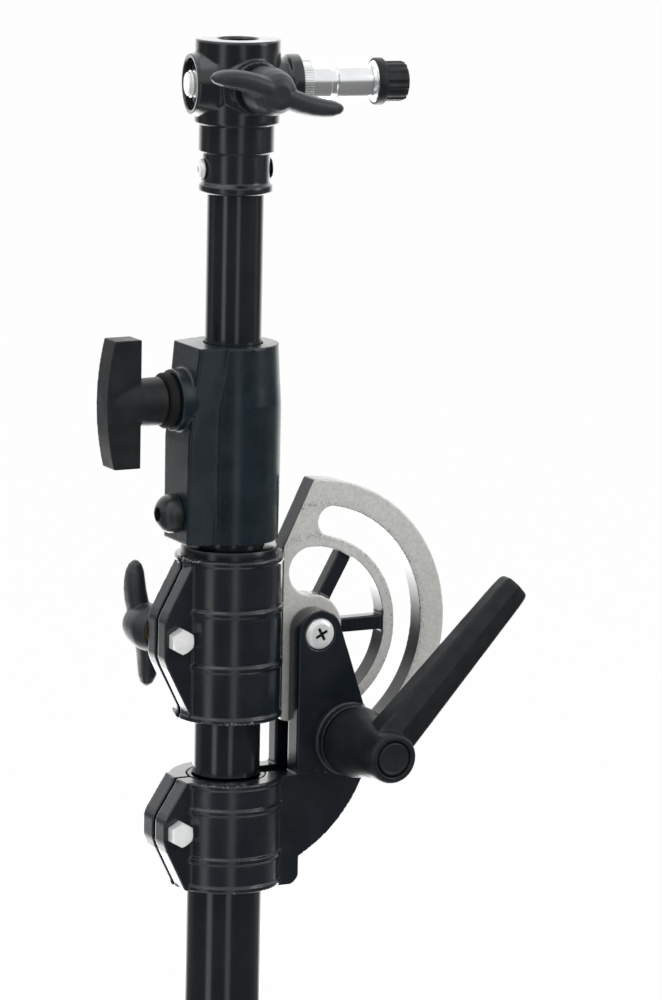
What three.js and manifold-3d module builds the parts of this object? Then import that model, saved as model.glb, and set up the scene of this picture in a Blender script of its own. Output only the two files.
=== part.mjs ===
// Overhead boom arm: a telescoping boom on a tilting swivel, held by a stub of its stand's column.
// Millimetres. +Z is up along the column, +X points from the column to the tilt pivot,
// and -Y is the side with the ratchet lever. The origin is the centre of the column's foot.

import * as THREE from 'three';
import { mergeVertices } from 'three/addons/utils/BufferGeometryUtils.js';
import Module from 'manifold-3d';

const wasm = await Module();
wasm.setup();

// Clearances and cuts
const runningGap = 0.3;
const overrun = 2;
const edgeRound = 1;
const weldDistance = 0.0001;

// Round resolution, in sides of a full circle
const tubeSides = 32;
const castingSides = 32;
const arcSteps = 16;
const pocketSteps = 6;
const cornerSteps = 4;
const domeSteps = 5;
const bulgeSteps = 5;
const wingSteps = 6;
const wireSteps = 5;
const springStepsPerTurn = 8;
const smallSides = 16;
const knobSides = 24;

// Column
const columnRadius = 17.5;
const columnWall = 2;
const columnTop = 156;
const footFlange = 3;
const footDepth = 14;

// Boom tubes
const boomRadius = 15;
const boomWall = 1.5;
const mastRadius = 12.5;
const mastWall = 1.5;
const mastTail = 186;
const shoeLip = 3;
const shoeDepth = 12;
const shoeWall = 2.6;

// Tilt pivot and lock bolt
const pivotX = 38.1;
const pivotZ = 231.1;
const boltX = 53.6;
const boltZ = 182;

// Lower collar and its fork
const lowerBottom = 118.8;
const lowerHeight = 49.2;
const lowerRadius = 24.7;
const ribDepth = 0.8;
const ribHeight = 2.2;
const lowerRibShares = [0.289, 0.74];
const lowerEarHeight = 27;
const lowerEarCentre = lowerBottom + lowerEarHeight;
const lowerEarEndHalf = 5.6;
const lowerEarFace = 11;
const lowerEarCornerX = -24.5;
const earReach = 35.2;
const earCorner = 2.5;
const earRootShare = 0.6;
const splitHalf = 1;
const bushWall = 1.8;
const bushDepth = 11;
const forkFront = 15.5;
const forkBack = 13.5;
const forkLeft = 27.6;
const forkEndRadius = 10.6;
const forkShoulderX = 60.4;
const forkShoulderZ = 198;
const forkBossRadius = 16;
const forkBossHeight = 4;
const forkBossStartX = 8.8;
const forkBossStartDrop = 13.4;
const webTabX = 29.2;
const webTabHeight = 11.7;
const webTabTop = lowerBottom + webTabHeight;
const webTabDrop = 1;
const webTabBottom = lowerBottom - webTabDrop;
const webTabCorner = 5;
const webSweepRadius = 68.6;

// Upper collar and its sector plate
const collarGap = 27;
const upperBottom = lowerBottom + lowerHeight + collarGap;
const upperHeight = 73;
const upperRadius = 23.6;
const upperRibShares = [0.337, 0.674];
const upperEarHeight = 37.4;
const upperEarCentre = upperBottom + upperEarHeight;
const upperEarEndHalf = 9.5;
const upperEarFace = 9;
const upperEarCornerX = -21;
const linerWall = 2.6;
const linerFlangeRadius = 21.6;
const linerFlangeHeight = 4;
const sectorThickness = 10.4;
const sectorRadius = 67.7;
const slotOuterRadius = 56.2;
const slotInnerRadius = 42.4;
const ringInnerRadius = 37.4;
const hubRadius = 15.8;
const slotStartDegrees = -73.5;
const slotEndDegrees = 78.1;
const sectorTopDegrees = 89.4;
const sectorBottomDegrees = -91;
const sectorNeckX = 24.9;
const sectorNeckRise = 2.4;
const sectorNeckZ = upperBottom + upperHeight + sectorNeckRise;
const spokeWidth = 6.6;
const spokeDegrees = [61, 0, -61];
const spokeRecess = 2;
const ringSink = 0.4;
const webPocketDegrees = 90;
const lowestPocketDegrees = -90;

// Fasteners
const boltRadius = 4;
const hexFlats = 12;
const hexHeight = 5.3;
const washerRadius = 8;
const washerThickness = 1.6;
const nutHeight = 6.5;
const clampBoltInset = 6.8;
const clampBoltRadius = 3;
const clampFlats = 10;
const clampCornerRadius = clampFlats / Math.sqrt(3);
const clampHexHeight = 4.5;
const clampNutHeight = 5;
const clampWasherRadius = 6;
const nutSink = 4.5;
const pivotHeadRadius = 7.1;
const pivotHeadHeight = 3.6;
const pivotSeatDepth = 2.4;
const pivotBushWall = 1.9;
const crossRecess = 1.5;
const crossRecessWidth = 1.6;
const crossRecessReach = 3.6;
const panRimHeight = 1.6;
const panFaceRadius = 5.1;

// Ratchet lever
const leverBase = 21;
const leverEnd = 58;
const leverBaseRadius = 16;
const leverEndRadius = 10.8;
const leverRimHeight = 4.4;
const leverRimRadius = 15.5;
const leverWaistHeight = 26.6;
const leverWaistRadius = 11.2;
const coreRadius = 7.6;
const toothDepth = 1.1;
const toothCount = 12;
const coreLength = 19;
const coreFloor = 4;
const shoulderThickness = 3;
const leverScrewRadius = 3;
const leverCapRadius = 7.6;
const leverCapFaceRadius = 6.5;
const leverCapDepth = 5;
const springTurns = 3;
const springWire = 0.9;
const springRadius = 4.9;
const armLength = 97;
const armDegrees = 46.5;
const armRootWidth = 20;
const armTipWidth = 14.5;
const armRootDepth = 15;
const armTipDepth = 10;
const armCentre = 45;
const armCorner = 2.5;

// Section lock on the boom's end
const lockHeight = 87;
const lockRadius = 21.6;
const lockDraft = 0.4;
const lockTopRadius = 20;
const lockLip = 4;
const lockBellyLow = 30;
const lockBellyHigh = 61;
const lockShoulder = 70;
const lockShoulderRadius = 20.9;
const padReach = 26.7;
const padTopReach = 22.5;
const padBend = 45;
const padHalf = 12.2;
const padBendHalf = 12.6;
const padTopHalf = 13.7;
const padRootX = 15.8;
const padRootHalf = 15.4;
const padTopRootX = 12;
const padTopRootHalf = 17;
const knobBossRadius = 13.6;
const knobBossReach = 30;
const clampScrewRadius = 8.6;
const clampScrewDome = 9.5;
const clampScrewRim = 2.4;
const socketFlats = 6;
const socketDepth = 4;
const brakeShoeRadius = 5;
const lockScrewRadius = 4;

// T-knob of the section lock
const sealRadius = 12.2;
const sealThickness = 5;
const stemRadius = 10.6;
const stemEndRadius = 10.2;
const teeInner = 47;
const teeOuter = 63;
const teeBulge = 3.5;
const teeHalf = 28.3;
const teeThickness = 12;

// Wing knobs
const wingHubRadius = 10.6;
const wingHubBaseRadius = 8.5;
const wingHubShoulderRadius = 10;
const wingHubEndRadius = 6.4;
const wingHubLength = 24;
const wingHubBelly = 6;
const wingHubShoulder = 17.5;
const wingHubFloor = 6;
const collarWingSpan = 29;
const headWingSpan = 32;
const wingBend = 16.2;
const wingCrest = 26;
const wingRootLow = 9.5;
const wingTipLow = 14.6;
const wingRootHalf = 4.9;
const wingTipHalf = 2.5;
const wingCurve = 1.8;
const wingInsertWall = 3.2;
const collarWingDegrees = 84;
const headWingDegrees = -14;

// Head
const headYawDegrees = -10;
const headWingYawDegrees = 8;
const headRadius = 18.7;
const shoulderDrop = 36.5;
const neckRadius = 16.6;
const neckDrop = 49;
const sleeveRadius = 14.8;
const sleeveDrop = 63.2;
const rimRadius = 16.2;
const rimDrop = 67;
const socketRadius = 8.75;
const socketDrop = 30;
const mastSeatDrop = 37;
const crossDrop = 19.5;
const bossRootReach = 18;
const crossBossRadius = 13.2;
const crossBossReach = 21.5;
const crossRecessRadius = 11.3;
const crossRecessFloor = 17;
const flangeRootRadius = 11.4;
const flangeRootReach = 19.3;
const flangeRadius = 12.6;
const flangeReach = 27.2;
const wingBossRootRadius = 16.6;
const wingBossRadius = 11.4;
const wingBossReach = 21.5;
const headScrewDrop = 56.7;
const headScrewRadius = 4.65;
const headScrewRise = 2;
const headScrewLowRise = 0.8;
const headScrewShank = 2.2;
const headScrewFaceRadius = 3.3;

// Spigot
const spigotRadius = 8;
const spigotSeat = 27.5;
const knurlRadius = 10;
const knurlEnd = 32;
const grooveStart = 41;
const grooveEnd = 43.8;
const grooveRadius = 6.6;
const spigotConeStart = 57.3;
const spigotConeRadius = 6.9;
const spigotFlangeStart = 61.6;
const spigotFlangeRadius = 9.2;
const spigotEnd = 64.7;
const studRadius = 6;
const studReach = 23;
const studCoreRadius = 4.2;
const studCoreEnd = 73;
const capRadius = 8.8;
const capEnd = 76.6;
const skirtRadius = 10.3;
const capRibDepth = 0.5;
const capRibCount = 14;

// Heights that follow from other sizes
const tailGap = 0.5;
const lockGap = 7;
const boomSeat = 43;
const knobMargin = 10.4;
const clampScrewMargin = 4;
const mastReach = 96;
const boomTail = lowerBottom + lowerHeight + tailGap;
const lockBottom = upperBottom + upperHeight + lockGap;
const boomTop = lockBottom + boomSeat;
const knobHeight = lockBottom + lockHeight - knobBossRadius - knobMargin;
const clampScrewHeight = lockBottom + clampScrewRadius + clampScrewMargin;
const headTop = lockBottom + lockHeight + mastReach + mastSeatDrop;

// Colours, roughness and metalness
const finishes = {
  castBlack: { color: 0x23282d, roughness: 0.42, metalness: 0.1 },
  tubeBlack: { color: 0x14171a, roughness: 0.22, metalness: 0.2 },
  slateCast: { color: 0x2b3238, roughness: 0.55, metalness: 0.1 },
  bareCast: { color: 0xb9bcbd, roughness: 0.45, metalness: 0.8 },
  zinc: { color: 0xc9cccc, roughness: 0.3, metalness: 0.9 },
  steel: { color: 0x8f9396, roughness: 0.4, metalness: 0.9 },
  aluminium: { color: 0xd2d4d6, roughness: 0.28, metalness: 0.9 },
  brass: { color: 0xb99a55, roughness: 0.35, metalness: 0.9 },
  plasticBlack: { color: 0x1d2125, roughness: 0.6, metalness: 0 },
  nylon: { color: 0x17191b, roughness: 0.5, metalness: 0 },
  rubber: { color: 0x0f1011, roughness: 0.85, metalness: 0 },
};

// Geometry and solids

// A three.js geometry as a closed solid, with its shared vertices merged and its faces pointing out.
function solidOf(geometry) {
  const bare = geometry.clone();
  bare.deleteAttribute('normal');
  bare.deleteAttribute('uv');
  const merged = mergeVertices(bare, weldDistance);
  const points = Float32Array.from(merged.attributes.position.array);
  const faces = [];
  const index = merged.index.array;
  let volume = 0;
  for (let i = 0; i < index.length; i += 3) {
    const [a, b, c] = [index[i], index[i + 1], index[i + 2]];
    if (a === b || b === c || a === c) continue;
    faces.push(a, b, c);
    const corner = (n) => new THREE.Vector3(points[3 * n], points[3 * n + 1], points[3 * n + 2]);
    volume += corner(a).dot(corner(b).cross(corner(c)));
  }
  if (volume < 0) {
    for (let i = 0; i < faces.length; i += 3) {
      [faces[i + 1], faces[i + 2]] = [faces[i + 2], faces[i + 1]];
    }
  }
  const mesh = new wasm.Mesh({ numProp: 3, vertProperties: points, triVerts: Uint32Array.from(faces) });
  return new wasm.Manifold(mesh);
}

// The triangles of a solid as a three.js geometry.
function geometryOf(solid) {
  const mesh = solid.getMesh();
  const geometry = new THREE.BufferGeometry();
  geometry.setAttribute('position', new THREE.BufferAttribute(Float32Array.from(mesh.vertProperties), 3));
  geometry.setIndex(new THREE.BufferAttribute(Uint32Array.from(mesh.triVerts), 1));
  geometry.computeVertexNormals();
  return geometry;
}

// A body turned about +Z from pairs of radius and height.
function turned(profile, sides) {
  const points = profile.map(([radius, height]) => new THREE.Vector2(radius, height));
  return new THREE.LatheGeometry(points, sides).rotateX(Math.PI / 2);
}

// A solid rod about +Z.
function rod(radius, low, high, sides) {
  return turned([[0, low], [radius, low], [radius, high], [0, high]], sides);
}

// A ring about +Z.
function ring(inner, outer, low, high, sides) {
  return turned([[inner, low], [outer, low], [outer, high], [inner, high], [inner, low]], sides);
}

// Turn a geometry made about +Z so that it points along a horizontal axis.
function towards(direction, geometry) {
  if (direction === '+x') return geometry.rotateY(Math.PI / 2);
  if (direction === '-x') return geometry.rotateY(-Math.PI / 2);
  if (direction === '-y') return geometry.rotateX(Math.PI / 2);
  return geometry.rotateX(-Math.PI / 2);
}

// A flat outline in X and Z, drawn from y = front to y = back.
function plate(shape, front, back, sides = smallSides) {
  const options = { depth: back - front, bevelEnabled: false, curveSegments: sides };
  return new THREE.ExtrudeGeometry(shape, options).rotateX(Math.PI / 2).translate(0, back, 0);
}

// A flat outline in X and Y, drawn from z = low to z = high.
function prism(shape, low, high, sides = smallSides) {
  const options = { depth: high - low, bevelEnabled: false, curveSegments: sides };
  return new THREE.ExtrudeGeometry(shape, options).translate(0, 0, low);
}

function outline(points) {
  return new THREE.Shape(points.map(([x, y]) => new THREE.Vector2(x, y)));
}

// A flat outline whose points carry, after their two places, how far their corner is rounded off.
function roundedOutline(points) {
  const shape = new THREE.Shape();
  const last = points.length - 1;
  points.forEach(([x, y, corner], i) => {
    const towardsPoint = ([otherX, otherY]) => {
      const offset = new THREE.Vector2(otherX - x, otherY - y).setLength(corner);
      return offset.add(new THREE.Vector2(x, y));
    };
    const entry = towardsPoint(points[i === 0 ? last : i - 1]);
    const exit = towardsPoint(points[i === last ? 0 : i + 1]);
    if (i === 0) shape.moveTo(entry.x, entry.y);
    else shape.lineTo(entry.x, entry.y);
    if (corner > 0) shape.quadraticCurveTo(x, y, exit.x, exit.y);
  });
  shape.closePath();
  return shape;
}

function box(lowX, highX, lowY, highY, lowZ, highZ) {
  const geometry = new THREE.BoxGeometry(highX - lowX, highY - lowY, highZ - lowZ);
  return geometry.translate((lowX + highX) / 2, (lowY + highY) / 2, (lowZ + highZ) / 2);
}

// A toothed outline whose tips and roots alternate evenly.
function toothed(rootRadius, tipRadius, count) {
  const points = [];
  const pitch = (2 * Math.PI) / count;
  const edgeShares = [-0.3, -0.15, 0.15, 0.3];
  for (let i = 0; i < count; i += 1) {
    edgeShares.forEach((share, k) => {
      const radius = k === 1 || k === 2 ? tipRadius : rootRadius;
      const angle = (i + share) * pitch;
      points.push([radius * Math.cos(angle), radius * Math.sin(angle)]);
    });
  }
  return outline(points);
}

// A hexagon with a corner up.
function hexagon(acrossFlats) {
  const radius = acrossFlats / Math.sqrt(3);
  const points = [];
  for (let i = 0; i < 6; i += 1) {
    const angle = ((i + 1 / 2) * Math.PI) / 3;
    points.push([radius * Math.cos(angle), radius * Math.sin(angle)]);
  }
  return outline(points);
}

// A region between two radii and two angles about the origin.
function arcBand(inner, outer, startDegrees, endDegrees) {
  const start = THREE.MathUtils.degToRad(startDegrees);
  const end = THREE.MathUtils.degToRad(endDegrees);
  const shape = new THREE.Shape();
  shape.absarc(0, 0, outer, start, end, false);
  shape.absarc(0, 0, inner, end, start, true);
  shape.closePath();
  return shape;
}

function cut(body, ...tools) {
  return tools.reduce((rest, tool) => rest.subtract(tool), body);
}

function join(body, ...others) {
  return others.reduce((all, other) => all.add(other), body);
}

// One named sub-part with its own finish.
function piece(name, shape, finish) {
  const geometry = shape.isBufferGeometry ? geometryOf(solidOf(shape)) : geometryOf(shape);
  const mesh = new THREE.Mesh(geometry, new THREE.MeshStandardMaterial(finishes[finish]));
  mesh.name = name;
  return mesh;
}

function groupAt(x, y, z, ...members) {
  const group = new THREE.Group();
  group.position.set(x, y, z);
  group.add(...members);
  return group;
}

// Fasteners, made about +Z with the head's seat at height 0 and the shank going down

// A hexagon head bolt; its crown is chamfered.
function hexBolt(radius, flats, headHeight, shankLength) {
  const corner = flats / Math.sqrt(3);
  const crown = turned(
    [[0, -overrun], [corner, -overrun], [corner, headHeight - (corner - flats / 2)],
      [flats / 2 - runningGap, headHeight], [0, headHeight]],
    smallSides,
  );
  const head = solidOf(prism(hexagon(flats), 0, headHeight)).intersect(solidOf(crown));
  return join(head, solidOf(rod(radius, -shankLength, overrun / 2, smallSides)));
}

function hexNut(boreRadius, flats, height) {
  const bore = solidOf(rod(boreRadius, -overrun, height + overrun, smallSides));
  return cut(solidOf(prism(hexagon(flats), 0, height)), bore);
}

// A cross recess for a screwdriver, cut down from a height.
function crossSlot(height, depth, width, reach) {
  const along = solidOf(box(-reach, reach, -width / 2, width / 2, height - depth, height + overrun));
  const across = solidOf(box(-width / 2, width / 2, -reach, reach, height - depth, height + overrun));
  return join(along, across);
}

// Column and foot

function columnTube() {
  return ring(columnRadius - columnWall, columnRadius, footFlange, columnTop, tubeSides);
}

function columnFoot() {
  const plugRadius = columnRadius - columnWall - runningGap;
  return turned(
    [[0, 0], [columnRadius, 0], [columnRadius, footFlange], [plugRadius, footFlange],
      [plugRadius, footFlange + footDepth], [0, footFlange + footDepth]],
    tubeSides,
  );
}

// Split collars

// The outside of a collar: a barrel with thin ribs at its ends and at shares of its height.
function collarBarrel(radius, height, ribShares) {
  const ribRadius = radius + ribDepth;
  const profile = [[0, 0], [ribRadius, 0], [ribRadius, ribHeight], [radius, ribHeight + ribDepth]];
  for (const share of ribShares) {
    const middle = share * height;
    profile.push([radius, middle - ribHeight / 2 - ribDepth], [ribRadius, middle - ribHeight / 2]);
    profile.push([ribRadius, middle + ribHeight / 2], [radius, middle + ribHeight / 2 + ribDepth]);
  }
  profile.push([radius, height - ribHeight - ribDepth], [ribRadius, height - ribHeight]);
  profile.push([ribRadius, height], [0, height]);
  return solidOf(turned(profile, castingSides));
}

// The pair of clamp ears as one block, narrowing towards its rounded end.
function clampEars(radius, height, centre, endHalf, cornerX, face) {
  const root = radius * earRootShare;
  const shape = roundedOutline([
    [-root, 0, 0], [cornerX, 0, 0], [-earReach, centre - endHalf, earCorner],
    [-earReach, centre + endHalf, earCorner], [cornerX, height, 0], [-root, height, 0],
  ]);
  return solidOf(plate(shape, -face, face, cornerSteps));
}

// What is cut from a collar: its bore, its split, the hole for its clamp bolt
// and the round seats that give the bolt's head and the nut or knob their room.
function collarCuts(boreRadius, height, centre, face, backSeatRadius) {
  const bore = solidOf(rod(boreRadius, -overrun, height + overrun, castingSides));
  const split = solidOf(box(-earReach - overrun, 0, -splitHalf, splitHalf, -overrun, height + overrun));
  const holeHalf = face + overrun;
  const clampX = clampBoltInset - earReach;
  const along = (radius, low, high) => solidOf(
    towards('-y', rod(radius, low, high, smallSides)).translate(clampX, 0, centre),
  );
  const hole = along(clampBoltRadius + runningGap, -holeHalf, holeHalf);
  const frontSeat = along(clampCornerRadius + runningGap, face, lowerRadius + overrun);
  const backSeat = along(backSeatRadius + runningGap, -lowerRadius - overrun, -face);
  return [bore, split, hole, frontSeat, backSeat];
}

// Fork: two ears from the pivot down to the lower collar, with the lock bolt's boss

function forkOutline() {
  const shape = new THREE.Shape();
  const rise = Math.atan2(pivotZ - forkShoulderZ, forkShoulderX - forkEndRadius - pivotX);
  shape.moveTo(0, webTabBottom);
  shape.lineTo(webTabX - webTabCorner, webTabBottom);
  shape.quadraticCurveTo(webTabX, webTabBottom, webTabX, webTabBottom + webTabCorner);
  shape.lineTo(webTabX, webTabTop);
  const sweepStart = new THREE.Vector2(webTabX, webTabTop);
  const sweepEnd = new THREE.Vector2(boltX + forkBossStartX, boltZ - forkBossStartDrop);
  const halfChord = sweepEnd.clone().sub(sweepStart).divideScalar(2);
  const away = new THREE.Vector2(-halfChord.y, halfChord.x).normalize();
  const toCentre = Math.sqrt(webSweepRadius ** 2 - halfChord.lengthSq());
  const centre = sweepStart.clone().add(halfChord).addScaledVector(away, toCentre);
  const angleOf = (point) => Math.atan2(point.y - centre.y, point.x - centre.x);
  shape.absarc(centre.x, centre.y, webSweepRadius, angleOf(sweepStart), angleOf(sweepEnd), false);
  shape.lineTo(boltX + forkBossRadius, boltZ);
  shape.lineTo(forkShoulderX, forkShoulderZ);
  shape.absarc(pivotX, pivotZ, forkEndRadius, Math.PI / 2 - rise, Math.PI, false);
  shape.lineTo(forkLeft, lowerBottom + lowerHeight);
  shape.lineTo(0, lowerBottom + lowerHeight);
  shape.closePath();
  return shape;
}

// The space that the sector plate sweeps, with its side clearance.
function sectorSweep() {
  const half = sectorThickness / 2 + runningGap;
  const radius = (sectorRadius + runningGap) / Math.cos(Math.PI / castingSides);
  return solidOf(towards('-y', rod(radius, -half, half, castingSides)).translate(pivotX, 0, pivotZ));
}

function swivelBracket() {
  const barrel = collarBarrel(lowerRadius, lowerHeight, lowerRibShares);
  const earCentre = lowerEarCentre - lowerBottom;
  const ears = clampEars(
    lowerRadius, lowerHeight, earCentre, lowerEarEndHalf, lowerEarCornerX, lowerEarFace,
  );
  const fork = solidOf(plate(forkOutline(), -forkFront, forkBack)).translate([0, 0, -lowerBottom]);
  const bossAt = (radius, low, high) => solidOf(
    towards('-y', rod(radius, low, high, knobSides)).translate(boltX, 0, boltZ - lowerBottom),
  );
  const boss = bossAt(forkBossRadius, -forkBack, forkFront + forkBossHeight);
  const bossEnd = forkFront + forkBossHeight + overrun;
  const boltHole = bossAt(boltRadius + runningGap, -forkBack - overrun, bossEnd);
  const pivotAt = (radius, low, high) => solidOf(
    towards('-y', rod(radius, low, high, knobSides)).translate(pivotX, 0, pivotZ - lowerBottom),
  );
  const pivotHole = pivotAt(boltRadius + runningGap, -forkBack - overrun, forkFront + overrun);
  const pivotSeat = pivotAt(pivotHeadRadius + runningGap, forkFront - pivotSeatDepth, forkFront + overrun);
  const sweep = sectorSweep().translate([0, 0, -lowerBottom]);
  const bore = columnRadius + runningGap;
  const collar = collarCuts(bore, lowerHeight, earCentre, lowerEarFace, clampCornerRadius);
  const socketShape = hexagon(clampFlats + 2 * runningGap);
  const nutSocket = solidOf(
    towards('+y', prism(socketShape, lowerEarFace - nutSink, lowerRadius + overrun))
      .translate(clampBoltInset - earReach, 0, earCentre),
  );
  const holes = [nutSocket, sweep, boltHole, pivotHole, pivotSeat];
  return cut(join(barrel, ears, fork, boss), ...collar, ...holes);
}

// The bush in the lower collar's mouth, which the boom's tail seats over.
function mouthBush() {
  const inner = boomRadius + runningGap;
  const body = solidOf(ring(inner, inner + bushWall, -bushDepth, 0, tubeSides));
  const sweep = sectorSweep().translate([0, 0, -lowerBottom - lowerHeight]);
  return cut(body, sweep);
}

// Sector plate, cast in one with the upper collar

function sectorOutline() {
  const shape = new THREE.Shape();
  const top = THREE.MathUtils.degToRad(sectorTopDegrees);
  const bottom = THREE.MathUtils.degToRad(sectorBottomDegrees);
  const neck = sectorNeckX - pivotX;
  const lowAngle = -Math.PI + Math.acos(-neck / slotInnerRadius);
  const collarTop = upperBottom + upperHeight - pivotZ;
  shape.moveTo(-pivotX, collarTop);
  shape.lineTo(upperRadius - pivotX, collarTop);
  shape.lineTo(neck, sectorNeckZ - pivotZ);
  shape.absarc(0, 0, sectorRadius, top, bottom, true);
  shape.absarc(0, 0, slotInnerRadius, bottom, lowAngle, true);
  shape.lineTo(upperRadius - pivotX, upperBottom - pivotZ);
  shape.lineTo(-pivotX, upperBottom - pivotZ);
  shape.closePath();
  return shape;
}

function slotTool(front, back) {
  const start = THREE.MathUtils.degToRad(slotStartDegrees);
  const end = THREE.MathUtils.degToRad(slotEndDegrees);
  const middle = (slotOuterRadius + slotInnerRadius) / 2;
  const half = (slotOuterRadius - slotInnerRadius) / 2;
  const shape = new THREE.Shape();
  const roundEnd = (angle, from) => {
    shape.absarc(middle * Math.cos(angle), middle * Math.sin(angle), half, from, from + Math.PI, false);
  };
  shape.absarc(0, 0, slotOuterRadius, start, end, false);
  roundEnd(end, end);
  shape.absarc(0, 0, slotInnerRadius, end, start, true);
  roundEnd(start, start + Math.PI);
  shape.closePath();
  return solidOf(plate(shape, front, back, arcSteps));
}

// The openings between the spokes, from one angle to the next; the first has a round end.
function pocketTools(front, back) {
  const endAngle = THREE.MathUtils.degToRad(webPocketDegrees);
  const endRadius = (ringInnerRadius - hubRadius) / 2;
  const endMiddle = (ringInnerRadius + hubRadius) / 2;
  const roundEnd = solidOf(
    towards('-y', rod(endRadius, -back, -front, castingSides))
      .translate(endMiddle * Math.cos(endAngle), 0, endMiddle * Math.sin(endAngle)),
  );
  const cuts = [roundEnd];
  const halfSpoke = spokeWidth / 2;
  const stops = [webPocketDegrees, ...spokeDegrees, lowestPocketDegrees];
  for (let i = 0; i + 1 < stops.length; i += 1) {
    const band = arcBand(hubRadius, ringInnerRadius, stops[i + 1], stops[i]);
    let tool = solidOf(plate(band, front, back, pocketSteps));
    for (const degrees of spokeDegrees) {
      const bar = box(0, slotInnerRadius, front - overrun, back + overrun, -halfSpoke, halfSpoke);
      tool = tool.subtract(solidOf(bar.rotateY(-THREE.MathUtils.degToRad(degrees))));
    }
    cuts.push(tool);
  }
  return cuts;
}

// The spokes lie lower than the plate's machined faces, on both sides.
function spokeRecesses() {
  const half = sectorThickness / 2;
  const wide = spokeWidth / 2 + overrun;
  const sides = [[-half - overrun, -half + spokeRecess], [half - spokeRecess, half + overrun]];
  const tools = [];
  for (const degrees of spokeDegrees) {
    for (const [front, back] of sides) {
      const bar = box(hubRadius, ringInnerRadius - ringSink, front, back, -wide, wide);
      tools.push(solidOf(bar.rotateY(-THREE.MathUtils.degToRad(degrees))));
    }
  }
  return tools;
}

function tiltSector() {
  const half = sectorThickness / 2;
  const barrel = collarBarrel(upperRadius, upperHeight, upperRibShares);
  const earCentre = upperEarCentre - upperBottom;
  const ears = clampEars(
    upperRadius, upperHeight, earCentre, upperEarEndHalf, upperEarCornerX, upperEarFace,
  );
  const placed = (solid) => solid.translate([pivotX, 0, pivotZ - upperBottom]);
  const plateSolid = solidOf(plate(sectorOutline(), -half, half, arcSteps));
  const front = -half - overrun;
  const back = half + overrun;
  const bushRoom = boltRadius + pivotBushWall + 2 * runningGap;
  const bushHole = solidOf(towards('-y', rod(bushRoom, front, back, knobSides)));
  const openings = [slotTool(front, back), ...pocketTools(front, back), bushHole];
  const sector = cut(plateSolid, ...openings, ...spokeRecesses());
  const bore = boomRadius + 2 * runningGap + linerWall;
  const collar = collarCuts(bore, upperHeight, earCentre, upperEarFace, wingHubRadius);
  return cut(join(barrel, ears, placed(sector)), ...collar);
}

function pivotBush() {
  const inner = boltRadius + runningGap;
  const half = sectorThickness / 2;
  return towards('-y', ring(inner, inner + pivotBushWall, -half, half, knobSides));
}

// Pan head pivot screw with a cross recess: head on the front ear, shank through to the nut.
function pivotScrew() {
  const reach = forkFront - pivotSeatDepth + forkBack + washerThickness + nutHeight;
  const head = turned(
    [[0, 0], [pivotHeadRadius, 0], [pivotHeadRadius, panRimHeight],
      [panFaceRadius, pivotHeadHeight], [0, pivotHeadHeight]],
    knobSides,
  );
  const body = join(solidOf(head), solidOf(rod(boltRadius, -reach, overrun / 2, smallSides)));
  return cut(body, crossSlot(pivotHeadHeight, crossRecess, crossRecessWidth, crossRecessReach));
}

// The liner in the upper collar; its flange rests on the collar's top.
function collarLiner() {
  const inner = boomRadius + runningGap;
  const outer = inner + linerWall;
  const top = upperHeight + linerFlangeHeight;
  return turned(
    [[inner, 0], [outer, 0], [outer, upperHeight], [linerFlangeRadius, upperHeight],
      [linerFlangeRadius, top], [inner, top], [inner, 0]],
    tubeSides,
  );
}

// Section lock casting: it clamps the boom tube's end and guides the mast

// The flat pad on the left: its sloping sides run out to the barrel.
function lockPad() {
  const section = (reach, half, height) => [[-reach, -half, height], [-reach, half, height]];
  const middle = [[0, -padRootHalf, 0], [0, padRootHalf, 0]];
  const topMiddle = [[0, -padRootHalf, lockHeight], [0, padRootHalf, lockHeight]];
  return wasm.Manifold.hull([
    ...section(padReach, padHalf, 0), ...section(padRootX, padRootHalf, 0), ...middle,
    ...section(padReach, padBendHalf, padBend),
    ...section(padTopReach, padTopHalf, lockHeight),
    ...section(padTopRootX, padTopRootHalf, lockHeight), ...topMiddle,
  ]);
}

function lockBody() {
  const bore = boomRadius + runningGap;
  const mouth = mastRadius + 2 * runningGap;
  const barrel = solidOf(turned(
    [[0, 0], [lockRadius - lockDraft, 0], [lockRadius, lockBellyLow], [lockRadius, lockBellyHigh],
      [lockShoulderRadius, lockShoulder], [lockTopRadius, lockHeight], [0, lockHeight]],
    castingSides,
  ));
  const leftward = (radius, low, high, sides, level) => solidOf(
    towards('-x', rod(radius, low, high, sides)).translate(0, 0, level - lockBottom),
  );
  const hole = lockScrewRadius + runningGap;
  const knobBoss = leftward(knobBossRadius, boomRadius, knobBossReach, knobSides, knobHeight);
  const knobHole = leftward(hole, 0, knobBossReach + overrun, smallSides, knobHeight);
  const screwHole = leftward(hole, 0, padReach + overrun, smallSides, clampScrewHeight);
  const wide = solidOf(rod(bore, -overrun, lockHeight - lockLip, castingSides));
  const narrow = solidOf(rod(mouth, 0, lockHeight + overrun, castingSides));
  return cut(join(barrel, lockPad(), knobBoss), wide, narrow, knobHole, screwHole);
}

// The guide bush between the casting and the mast, with a hole for the brake shoe.
function mastBush() {
  const inner = mastRadius + runningGap;
  const low = boomTop + runningGap - lockBottom;
  const high = lockHeight - lockLip - runningGap;
  const body = solidOf(ring(inner, boomRadius, low, high, tubeSides));
  const shoe = rod(brakeShoeRadius + runningGap, 0, boomRadius + overrun, smallSides);
  const window = solidOf(towards('-x', shoe).translate(0, 0, knobHeight - lockBottom));
  return cut(body, window);
}

function brakeShoe() {
  const reach = Math.sqrt(boomRadius ** 2 - brakeShoeRadius ** 2);
  return towards('-x', rod(brakeShoeRadius, mastRadius + runningGap, reach, smallSides));
}

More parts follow.
